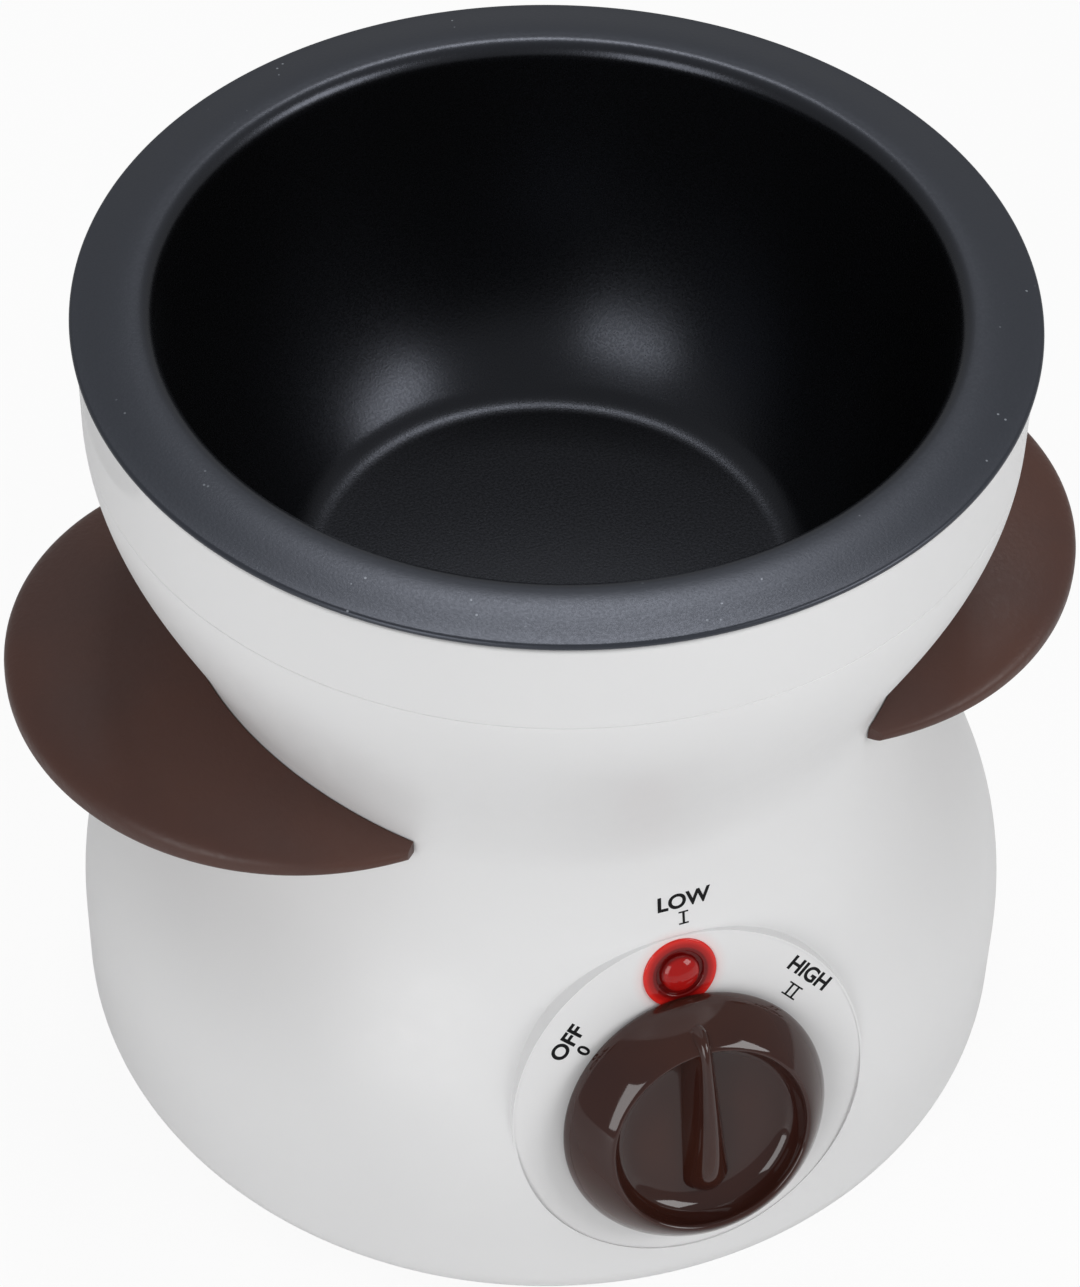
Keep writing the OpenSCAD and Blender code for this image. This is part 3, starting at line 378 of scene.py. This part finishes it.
nodeFinish = {
    "inner_pot": "coating", "upper_collar": "white", "housing_shell": "white",
    "left_handle": "brown", "right_handle": "brown", "handle_screws": "steel",
    "heater_bowl": "sheet", "heater_plate": "sheet", "heating_element": "sheath",
    "thermostat": "black", "thermostat_screws": "steel", "thermal_fuse": "ceramic",
    "heat_shield": "sheet", "shield_posts": "steel", "shield_screws": "steel",
    "control_knob": "gloss", "knob_spring": "steel", "switch_shaft": "steel",
    "rotary_switch": "black", "switch_nut": "steel", "indicator_lens": "lens",
    "lens_retainer": "steel", "neon_lamp": "glass", "terminal_block": "ceramic",
    "block_screws": "brass", "lead_supply": "wireBlack", "lead_heater": "wireBrown",
    "lead_return": "wireWhite", "cord_gland": "black", "gland_nut": "black",
    "base_plate": "base", "base_screws": "steel",
    "foot_1": "rubber", "foot_2": "rubber", "foot_3": "rubber", "foot_4": "rubber",
}
for node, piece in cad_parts.items():
    for place in piece.material_slots:
        place.material = finishes[nodeFinish[node]]


# Pieces

def spinOutline(outline, steps, closed=True):
    shape = bmesh.new()
    verts = []
    for radius, height in outline:
        point = Vector((max(radius, 0.0), 0, height)) * mm
        if not verts or (verts[-1].co - point).length > weld:
            verts.append(shape.verts.new(point))
    edges = [shape.edges.new(pair) for pair in zip(verts, verts[1:])]
    if closed:
        edges.append(shape.edges.new((verts[-1], verts[0])))
    bmesh.ops.spin(shape, geom=verts + edges, cent=(0, 0, 0), axis=(0, 0, 1), angle=2 * math.pi, steps=steps,
                   use_merge=True)
    bmesh.ops.remove_doubles(shape, verts=shape.verts, dist=weld)
    return shape


def bridgeSections(shape, loops):
    for before, after in zip(loops, loops[1:]):
        bmesh.ops.bridge_loops(shape, edges=before + after)
    for loop in (loops[0], loops[-1]):
        bmesh.ops.contextual_create(shape, geom=loop)
    return shape


def linkMesh(shape, name):
    bmesh.ops.recalc_face_normals(shape, faces=shape.faces)
    mesh = bpy.data.meshes.new(name)
    shape.to_mesh(mesh)
    shape.free()
    piece = bpy.data.objects.new(name, mesh)
    bpy.context.scene.collection.objects.link(piece)
    return piece


def carve(piece, shape, operation):
    tool = linkMesh(shape, "tool")
    step = piece.modifiers.new("carve", "BOOLEAN")
    step.operation, step.solver, step.object = operation, "EXACT", tool
    carved = bpy.data.meshes.new_from_object(piece.evaluated_get(bpy.context.evaluated_depsgraph_get()))
    piece.modifiers.clear()
    piece.data = carved
    bpy.data.objects.remove(tool)


def finishPiece(shape, name, finish, body, replaces=(), sharp=35.0, carvings=()):
    piece = linkMesh(shape, name)
    for operation, tool in carvings:
        carve(piece, tool, operation)
    mesh = piece.data
    mesh.materials.clear()
    mesh.materials.append(finishes[finish])
    mesh.shade_smooth()
    mesh.set_sharp_from_angle(angle=math.radians(sharp))
    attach(piece, body)
    if replaces:
        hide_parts(*replaces)
    print("piece", name, len(mesh.polygons), "faces")
    return piece


def onPad(shape, up=0.0):
    bmesh.ops.translate(shape, verts=shape.verts, vec=Vector((0, up, 0)) * mm)
    bmesh.ops.transform(shape, matrix=padPlace, verts=shape.verts)
    return shape


def leanPad(shape):
    # The pad's face leans out a little at its top, so that its edge stays shallow all round
    bmesh.ops.rotate(shape, verts=shape.verts, cent=(0, 0, pad["raise"] * mm),
                     matrix=Matrix.Rotation(math.radians(pad["lean"]), 3, "X"))


def padPocket():
    # The flat pocket, the well behind the knob with the switch's hole, and the lamp's hole
    radius, well, bush, stem = pad["radius"], pad["well"], pad["bush"], pad["stem"]
    above, far, depth = pad["above"], pad["far"], pad["wellDepth"]
    pocket = spinOutline([(0, far), (radius, far), (radius, pad["raise"]), (0, pad["raise"])],
                         pad["pocketTurns"], closed=False)
    hole = spinOutline([(0, above), (well, above), (well, -depth), (bush, -depth), (bush, -far), (0, -far)],
                       pad["wellTurns"], closed=False)
    lampHole = spinOutline([(0, above), (stem, above), (stem, -far), (0, -far)],
                           pad["stemTurns"], closed=False)
    leanPad(pocket)
    return [("DIFFERENCE", onPad(pocket, pad["up"])), ("DIFFERENCE", onPad(hole)),
            ("DIFFERENCE", onPad(lampHole, pad["lensUp"]))]


def padPlate():
    # The wall behind the pocket, with the well's boss
    face, back = pad["raise"] + pad["plateProud"], -pad["plate"]
    radius, over, proud = pad["radius"], pad["plateOver"], pad["bossProud"]
    bossOut, bossBack = pad["well"] + pad["wellWall"], -pad["wellDepth"] - pad["wellWall"]
    plate = spinOutline([(0, face), (radius + over / 2, face), (radius + over, back), (0, back)],
                        pad["plateTurns"], closed=False)
    boss = spinOutline([(0, proud), (bossOut, proud), (bossOut, bossBack), (0, bossBack)],
                       pad["wellTurns"], closed=False)
    leanPad(plate)
    return [("UNION", onPad(plate, pad["up"])), ("UNION", onPad(boss))]


def glandSeat():
    bore, radius, inside, outside = gland["bore"], gland["radius"], gland["inside"], gland["outside"]
    line = [(0, -inside), (bore, -inside), (bore, 0), (radius, 0), (radius, outside), (0, outside)]
    seat = spinOutline(line, gland["turns"], closed=False)
    bmesh.ops.rotate(seat, verts=seat.verts, cent=(0, 0, 0),
                     matrix=Matrix.Rotation(math.radians(-90), 3, "X"))
    bmesh.ops.translate(seat, verts=seat.verts, vec=Vector((0, gland["flat"], gland["height"])) * mm)
    return [("DIFFERENCE", seat)]


def makeHousing():
    flare, swell, side, under = shellRuns
    seam, lift, wall, edge = housing["seam"], housing["lift"], housing["wall"], housing["edge"]
    tongueIn, tongueOut, tongueTop = housing["tongueIn"], housing["tongueOut"], housing["tongueTop"]
    outside = arcRun((housing["top"] - edge, seam - edge), edge, 90, 0, housing["edgeSteps"]) \
        + [p for p in flare if p[1] < seam - edge] + swell[1:] + side[1:] + under[1:]
    opening = [(housing["opening"], lift), (housing["opening"], lift + wall)]
    skin = flare[housing["wallFrom"]:] + swell[1:] + side[1:]
    inside = [(r - wall, z) for r, z in reversed(skin) if z > lift + wall + housing["wallFoot"]]
    tongue = [(tongueIn, seam - wall - housing["wallHead"]), (tongueIn, tongueTop),
              (tongueOut - housing["tongueEdge"], tongueTop), (tongueOut, tongueTop - housing["tongueEdge"]),
              (tongueOut, seam)]
    shape = spinOutline(outside + opening + inside + tongue, housing["turns"])
    return finishPiece(shape, "housing", "white", "base", ("housing_shell",),
                       carvings=padPlate() + padPocket() + glandSeat())


housingPiece = makeHousing()


# Collar: the upper ring with a scoop on each side

collar = {
    "radius": 65.3, "bottom": 120.22, "top": 134.2, "wall": 2.8,
    "ledge": 58.6, "ledgeDepth": 2.6, "ledgeFoot": 2.4, "edge": 0.5, "lowEdge": 0.18,
    "edgeSteps": 6, "lowEdgeSteps": 4, "sideSteps": 40, "topSteps": 20, "turns": 384,
    "inset": 1.0,            # from the ends of the side and the top to their first points
    "scoopDepth": 2.1, "scoopHeight": 7.0, "scoopLow": 2.0,
}


def makeCollar():
    radius, top, bottom = collar["radius"], collar["top"], collar["bottom"]
    edge, lowEdge, inset, foot = collar["edge"], collar["lowEdge"], collar["inset"], collar["ledgeFoot"]
    ledge, ledgeHeight, inner = collar["ledge"], top - collar["ledgeDepth"], radius - collar["wall"]
    outline = arcRun((radius - lowEdge, bottom + lowEdge), lowEdge, -90, 0, collar["lowEdgeSteps"]) \
        + straightRun((radius, bottom + inset), (radius, top - inset), collar["sideSteps"]) \
        + arcRun((radius - edge, top - edge), edge, 0, 90, collar["edgeSteps"]) \
        + straightRun((radius - inset, top), (ledge, top), collar["topSteps"]) \
        + [(ledge, ledgeHeight), (inner - foot, ledgeHeight), (inner, ledgeHeight - foot), (inner, bottom)]
    shape = spinOutline(outline, collar["turns"])
    # Each scoop is pressed in with a round cutter that lies level with the rim
    depth = collar["scoopDepth"]
    cutter = (collar["scoopHeight"] ** 2 / depth + depth) / 2
    for vert in shape.verts:
        x, height = abs(vert.co.x) / mm, vert.co.z / mm
        drop = top - height
        if drop < cutter:
            surface = radius - depth + cutter - math.sqrt(cutter ** 2 - drop ** 2)
            if x > surface and height > bottom + collar["scoopLow"]:
                vert.co.x = math.copysign(surface * mm, vert.co.x)
    return finishPiece(shape, "collar", "white", "base", ("upper_collar",))


makeCollar()


# Pot: coated sheet with a wide, slightly crowned flange

pot = {
    "rim": 66.0, "rimHeight": 136.0, "rise": 1.0, "flange": 10.5, "flangeArm": 2.6, "crown": 0.25,
    "sheet": 1.0, "floor": 33.5, "floorHeight": 84.0, "floorRound": 7.0, "depth": 52.0,
    "turnShare": 0.64, "kneeShare": 0.54, "round": 2.5, "turnIn": 0.4,
    "floorSteps": 16, "footSteps": 16, "wallSteps": 84, "lipSteps": 14,
    "flangeSteps": 24, "rollSteps": 12, "turns": 320,
}


def makePot():
    mouth = pot["rim"] - pot["flange"] - pot["round"] * pot["turnIn"]
    top = pot["rimHeight"] + pot["rise"]
    edge = pot["sheet"] / 2
    floorArc = arcRun((pot["floor"], pot["floorHeight"] + pot["floorRound"]), pot["floorRound"], -90, -45,
                      pot["footSteps"])
    foot, lipFoot = floorArc[-1], top - pot["round"]
    turn = pot["turnShare"] * (mouth - foot[0])
    wallIn = floorArc + bezierRun(foot, (foot[0] + turn, foot[1] + turn),
                                  (mouth, pot["floorHeight"] + pot["kneeShare"] * pot["depth"]),
                                  (mouth, lipFoot), pot["wallSteps"])[1:]
    lip = arcRun((mouth + pot["round"], top - pot["round"]), pot["round"], 180, 90, pot["lipSteps"])
    flange = bezierRun((mouth + pot["round"], top),
                       (mouth + pot["round"] + pot["flangeArm"], top + pot["crown"]),
                       (pot["rim"] - pot["flangeArm"], pot["rimHeight"] + pot["crown"]),
                       (pot["rim"] - edge, pot["rimHeight"]), pot["flangeSteps"])
    roll = arcRun((pot["rim"] - edge, pot["rimHeight"] - edge), edge, 90, -90, pot["rollSteps"])
    line = straightRun((0, pot["floorHeight"]), (pot["floor"], pot["floorHeight"]), pot["floorSteps"]) \
        + wallIn[1:] + lip[1:] + flange[1:]
    # The outer face lies one sheet thickness behind the inner one
    outside = []
    for before, here, after in zip(line, line[1:], line[2:]):
        run = Vector((after[0] - before[0], after[1] - before[1])).normalized()
        outside.append((here[0] + run.y * pot["sheet"], here[1] - run.x * pot["sheet"]))
    outline = line + roll[1:] + list(reversed(outside)) + [(0, pot["floorHeight"] - pot["sheet"])]
    shape = spinOutline(outline, pot["turns"], closed=False)
    return finishPiece(shape, "fonduePot", "coating", "pot", ("inner_pot",))


makePot()


# Handles: a wing lofted round the waist

handle = {
    "reach": 80.0, "height": 79.4, "slope": 0.05, "thick": 11.8, "halfAngle": 49.6, "bluntAngle": 2.3,
    "gap": 0.15, "tipShare": 0.2, "taperShare": 0.22, "fullness": 3.2, "nose": 0.8, "waist": 52.0,
    "sharp": 50.0, "sections": 110, "facePoints": 30, "rootPoints": 8,
}


def makeHandle(side, name, node):
    half = handle["halfAngle"]
    tip = shellRadius(handle["height"]) + handle["gap"]
    chord = tip * math.cos(math.radians(half + handle["bluntAngle"]))
    centre = (handle["reach"] ** 2 - tip ** 2) / (handle["reach"] - chord) / 2
    radius = handle["reach"] - centre

    def middle(x):
        return handle["height"] + handle["slope"] * (x - handle["waist"])

    def root(angle, up):
        guess = shellRadius(middle(handle["waist"] * math.cos(angle)) + up)
        height = middle(guess * math.cos(angle)) + up
        return shellRadius(height) + handle["gap"], height

    def section(degrees):
        angle = math.radians(degrees)
        thick = handle["thick"] * (handle["tipShare"] + (1 - handle["tipShare"])
                                   * math.cos(math.radians(90 * degrees / half)))
        outer = centre * math.cos(angle) + math.sqrt(radius ** 2 - (centre * math.sin(angle)) ** 2)
        points = []
        count = handle["facePoints"]
        for face in (1, -1):
            for i in (range(count + 1) if face > 0 else range(count - 1, -1, -1)):
                turn = math.radians(90 * i / count)
                start, level = root(angle, face * thick / 2)
                out = math.sin(turn) ** (2 / handle["fullness"])
                up = max(math.cos(turn), 0) ** (2 / handle["fullness"])
                reach = start + out * (max(outer, start + handle["nose"]) - start)
                height = level if i == 0 else \
                    middle(reach * math.cos(angle)) + face * thick / 2 * up * (1 - handle["taperShare"] * out)
                points.append((reach, height))
        for k in range(1, handle["rootPoints"]):
            points.append(root(angle, thick * (k / handle["rootPoints"] - 0.5)))
        return [Vector((side * r * math.cos(angle), side * r * math.sin(angle), z)) * mm for r, z in points]

    shape = bmesh.new()
    loops = []
    for i in range(handle["sections"] + 1):
        verts = [shape.verts.new(p) for p in section(half * (2 * i / handle["sections"] - 1))]
        loops.append([shape.edges.new(pair) for pair in zip(verts, verts[1:] + verts[:1])])
    bridgeSections(shape, loops)
    return finishPiece(shape, name, "brown", "base", (node,), handle["sharp"])


makeHandle(-1, "leftWing", "left_handle")
makeHandle(1, "rightWing", "right_handle")


# Knob: a domed ring round a recess, with a pointer blade across it

knob = {
    "radius": 19.8, "skirt": 19.5, "gap": 1.5, "skirtTop": 2.3, "skirtRound": 0.3, "top": 9.6, "ring": 14.85,
    "domeUp": 0.32, "domeOut": 0.2, "recess": 14.3, "recessFoot": 13.8, "recessFloor": 5.2, "lip": 0.5,
    "footRound": 4.6, "footUp": 0.9, "footIn": 1.0, "cap": 1.4, "wall": 2.0, "hub": 5.6, "hubBase": -1.1,
    "bore": 3.05, "boreTop": 3.9, "domeSteps": 36, "lipSteps": 10, "footSteps": 20, "skirtSteps": 6,
    "floorSteps": 8, "turns": 256, "sharp": 40.0,
}
blade = {
    "low": -11.15, "high": 18.0, "crest": 10.7, "crestAt": 9.0, "rise": 2.3, "fall": 5,
    "broad": 2.7, "tip": 1.5, "foot": 4.7, "leastTop": 0.1, "endGap": 0.02, "square": 2.1, "flare": 0.35,
    "sections": 56, "points": 22,
}


def knobLine():
    radius, gap, skirtTop, top = knob["radius"], knob["gap"], knob["skirtTop"], knob["top"]
    ring, recess, floor = knob["ring"], knob["recess"], knob["recessFloor"]
    lipHeight, roof = top - 2 * knob["lip"], floor - knob["cap"]
    dome = bezierRun((radius, skirtTop), (radius, skirtTop + knob["domeUp"] * (top - skirtTop)),
                     (ring + knob["domeOut"] * (radius - ring), top), (ring, top), knob["domeSteps"])
    lip = bezierRun((ring, top), ((ring + recess) / 2, top), (recess, top - knob["lip"] / 2),
                    (recess, lipHeight), knob["lipSteps"])
    foot = bezierRun((recess, lipHeight), (knob["recessFoot"], floor + knob["footUp"]),
                     (knob["recessFoot"] - knob["footIn"], floor),
                     (knob["recessFoot"] - knob["footRound"], floor), knob["footSteps"])
    skirt = bezierRun((knob["skirt"] - knob["skirtRound"], gap), (knob["skirt"], gap),
                      (radius, gap + knob["skirtRound"]), (radius, skirtTop), knob["skirtSteps"])
    under = [(0, knob["boreTop"]), (knob["bore"], knob["boreTop"]), (knob["bore"], knob["hubBase"]),
             (knob["hub"], knob["hubBase"]), (knob["hub"], roof), (ring - knob["wall"], roof),
             (knob["skirt"] - knob["wall"], gap)]
    flat = straightRun((knob["recessFoot"] - knob["footRound"], floor), (0, floor), knob["floorSteps"])
    return under + skirt + dome[1:] + lip[1:] + foot[1:] + flat[1:]


def bladeHeight(along):
    crest, foot = blade["crest"], knob["recessFloor"]
    if along < blade["crestAt"]:
        share = (blade["crestAt"] - along) / (blade["crestAt"] - blade["low"])
        return foot + (crest - foot) * (1 - share ** blade["rise"]) ** 0.5
    share = (along - blade["crestAt"]) / (blade["high"] - blade["crestAt"])
    return foot + (crest - foot) * (1 - share ** blade["fall"]) ** 0.5


def bladeHalf(along):
    lowEnd, highEnd = blade["low"] + blade["broad"], blade["high"] - blade["tip"]
    if along < lowEnd:
        return math.sqrt(max(blade["broad"] ** 2 - (lowEnd - along) ** 2, 0.0))
    if along > highEnd:
        return math.sqrt(max(blade["tip"] ** 2 - (along - highEnd) ** 2, 0.0))
    share = (along - lowEnd) / (highEnd - lowEnd)
    return blade["broad"] + (blade["tip"] - blade["broad"]) * share


def makeBlade():
    middle = (blade["low"] + blade["high"]) / 2
    reach = (blade["high"] - blade["low"]) / 2 - blade["endGap"]
    shape = bmesh.new()
    loops = []
    for i in range(blade["sections"] + 1):
        along = middle - reach * math.cos(math.pi * i / blade["sections"])
        half, top = bladeHalf(along), max(bladeHeight(along), blade["foot"] + blade["leastTop"])
        verts = []
        for k in range(blade["points"] + 1):
            side = math.pi * k / blade["points"]
            out = math.copysign(abs(math.cos(side)) ** (2 / blade["square"]), math.cos(side))
            up = math.sin(side) ** (2 / blade["square"])
            out = out * half * (1 + blade["flare"] * (1 - up))
            height = blade["foot"] + (top - blade["foot"]) * up
            verts.append(shape.verts.new(Vector((out, along, height)) * mm))
        loops.append([shape.edges.new(pair) for pair in zip(verts, verts[1:] + verts[:1])])
    return onPad(bridgeSections(shape, loops))


def makeKnob():
    shape = onPad(spinOutline(knobLine(), knob["turns"], closed=False))
    return finishPiece(shape, "knob", "gloss", "knob", ("control_knob",), knob["sharp"],
                       [("UNION", makeBlade())])


makeKnob()


# Pilot lens: a flange with a shallow groove round a raised dome, and its hollow stem

lens = {
    "radius": 5.5, "thick": 1.42, "groove": 0.5, "grooveWide": 0.5, "dome": 3.0, "domeShare": 0.56,
    "edge": 0.25, "stem": 3.7, "stemBore": 2.6, "stemTop": -1.0, "stemEnd": -13.0,
    "domeSteps": 16, "edgeSteps": 6, "grooveSteps": 5, "turns": 128,
}


def makeLens():
    top, low, edge = lens["thick"], lens["thick"] - lens["groove"], lens["edge"]
    bore, stem, inner = lens["stemBore"], lens["stem"], lens["dome"] + lens["grooveWide"]
    dome = [(x, low + (z - low) * lens["domeShare"])
            for x, z in arcRun((0, low), lens["dome"], 0, 90, lens["domeSteps"])]
    outline = [(0, lens["stemTop"]), (bore, lens["stemTop"]), (bore, lens["stemEnd"]),
               (stem, lens["stemEnd"]), (stem, 0), (lens["radius"] - edge / 2, 0)] \
        + arcRun((lens["radius"] - edge, top - edge), edge, 0, 90, lens["edgeSteps"]) \
        + arcRun((inner + edge, top - edge), edge, 90, 180, lens["grooveSteps"]) + [(inner, low)] + dome
    shape = onPad(spinOutline(outline, lens["turns"], closed=False), pad["lensUp"])
    return finishPiece(shape, "pilotLens", "lens", "base", ("indicator_lens",))


makeLens()


# Printed marks round the knob, laid on the housing along the pad's normal

marks = {
    "letterHeight": 2.65, "narrow": 0.96, "bolder": 0.028, "weld": 1e-5,
    "proud": 0.035, "deep": 0.05, "drop": 40.0,
    "numeral": {"height": 2.2, "stroke": 0.34, "pitch": 1.15, "serif": 1.45, "serifShare": 0.7},
    "words": {
        "markOff": ("OFF", (-17.4, 16.6), 47.0, 1.0),
        "markZero": ("0", (-15.1, 14.6), 47.0, 0.8),
        "markLow": ("LOW", (1.5, 35.2), 0.0, 1.0),
        "markHigh": ("HIGH", (19.4, 17.5), -47.0, 0.95),
    },
    "numerals": {"markOne": (1, (1.3, 32.1), 0.0), "markTwo": (2, (16.6, 15.3), -47.0)},
}


def wordShape(text, share):
    curve = bpy.data.curves.new("word", "FONT")
    curve.body, curve.extrude, curve.offset = text, 1.0, marks["bolder"]
    word = bpy.data.objects.new("word", curve)
    bpy.context.scene.collection.objects.link(word)
    mesh = bpy.data.meshes.new_from_object(word.evaluated_get(bpy.context.evaluated_depsgraph_get()))
    bpy.data.objects.remove(word)
    shape = bmesh.new()
    shape.from_mesh(mesh)
    bmesh.ops.remove_doubles(shape, verts=shape.verts, dist=marks["weld"])
    low = [min(vert.co[i] for vert in shape.verts) for i in range(2)]
    high = [max(vert.co[i] for vert in shape.verts) for i in range(2)]
    size = marks["letterHeight"] * share / (high[1] - low[1])
    bmesh.ops.translate(shape, verts=shape.verts, vec=(-(low[0] + high[0]) / 2, -(low[1] + high[1]) / 2, 0))
    bmesh.ops.scale(shape, verts=shape.verts, vec=(size * marks["narrow"], size, 1))
    return shape


def numeralShape(count):
    bars = marks["numeral"]
    thin, wide = bars["stroke"] * bars["serifShare"], bars["serif"] + (count - 1) * bars["pitch"]
    boxes = [((i - (count - 1) / 2) * bars["pitch"], 0, bars["stroke"], bars["height"]) for i in range(count)]
    boxes += [(0, side * (bars["height"] - thin) / 2, wide, thin) for side in (-1, 1)]
    shape = bmesh.new()
    for x, y, width, height in boxes:
        made = bmesh.ops.create_cube(shape, size=1)["verts"]
        bmesh.ops.scale(shape, verts=made, vec=(width, height, 2))
        bmesh.ops.translate(shape, verts=made, vec=(x, y, 0))
    return shape


def layMark(shape, name, place, turn, surface):
    bmesh.ops.rotate(shape, verts=shape.verts, cent=(0, 0, 0),
                     matrix=Matrix.Rotation(math.radians(turn), 3, "Z"))
    for vert in shape.verts:
        start = padPlace @ (Vector((vert.co.x + place[0], vert.co.y + place[1], marks["drop"])) * mm)
        spot, facing, _, _ = surface.ray_cast(start, -padNormal)
        vert.co = spot + facing * (marks["proud"] if vert.co.z > 0 else -marks["deep"]) * mm
    return finishPiece(shape, name, "ink", "base")


def makeMarks():
    mesh = bmesh.new()
    mesh.from_mesh(housingPiece.data)
    surface = BVHTree.FromBMesh(mesh)
    for name, (text, place, turn, share) in marks["words"].items():
        layMark(wordShape(text, share), name, place, turn, surface)
    for name, (count, place, turn) in marks["numerals"].items():
        layMark(numeralShape(count), name, place, turn, surface)
    mesh.free()


makeMarks()


# Stage and light

studio = {
    "floorHalf": 3.0, "floorSegments": 4, "floorColour": rgb(0.85, 0.85, 0.85), "floorRoughness": 0.6,
    "floorShown": 0.92,      # share of the camera's plain white on the floor; the rest keeps the shadow
    "worldLight": 0.33,      # what the world gives the object; the camera sees it at 1
    "aim": (0, 0, 0.07),
}
lights = {
    "leftFront": {"place": (-0.74, -0.66, 0.42), "size": (0.48, 0.68), "power": 3.9},
    "rightFront": {"place": (0.70, -0.62, 0.60), "size": (0.52, 0.46), "power": 3.9},
    "overhead": {"place": (0.18, 0.40, 1.06), "size": (0.40, 0.24), "power": 2.6},
}


def makeFloor():
    shape = bmesh.new()
    segments = studio["floorSegments"]
    bmesh.ops.create_grid(shape, x_segments=segments, y_segments=segments, size=studio["floorHalf"])
    mesh = bpy.data.meshes.new("floor")
    shape.to_mesh(mesh)
    shape.free()
    floor = bpy.data.objects.new("floor", mesh)
    bpy.context.scene.collection.objects.link(floor)
    finish = Finish("paleFloor", {"Roughness": studio["floorRoughness"], "Base Color": studio["floorColour"]})
    tree = finish.tree
    seen = Wire(tree, tree.nodes.new("ShaderNodeLightPath").outputs["Is Camera Ray"])
    white = finish.node("ShaderNodeEmission", {}, {"Color": rgb(1, 1, 1), "Strength": 1.0})
    mixed = finish.node("ShaderNodeMixShader", {},
                        {0: seen * studio["floorShown"], 1: Wire(tree, finish.surface.outputs[0]), 2: white})
    connect(tree, tree.nodes["Material Output"].inputs["Surface"], mixed)
    mesh.materials.append(finish.material)


def makeWorld():
    world = bpy.data.worlds.new("studio")
    bpy.context.scene.world = world
    world.use_nodes = True
    tree = world.node_tree
    background = tree.nodes["Background"]
    background.inputs["Color"].default_value = rgb(1, 1, 1)
    seen = Wire(tree, tree.nodes.new("ShaderNodeLightPath").outputs["Is Camera Ray"])
    lit = studio["worldLight"]
    connect(tree, background.inputs["Strength"], seen * (1 - lit) + lit)


def makeLight(name, settings):
    data = bpy.data.lights.new(name, "AREA")
    data.shape = "RECTANGLE"
    data.size, data.size_y = settings["size"]
    data.energy = settings["power"]
    lamp = bpy.data.objects.new(name, data)
    place = Vector(settings["place"])
    aim = (Vector(studio["aim"]) - place).to_track_quat("-Z", "Y")
    lamp.matrix_world = Matrix.Translation(place) @ aim.to_matrix().to_4x4()
    bpy.context.scene.collection.objects.link(lamp)


makeFloor()
makeWorld()
for name, settings in lights.items():
    makeLight(name, settings)
bpy.context.scene.view_settings.view_transform = "Standard"
print("stage and lights ready")
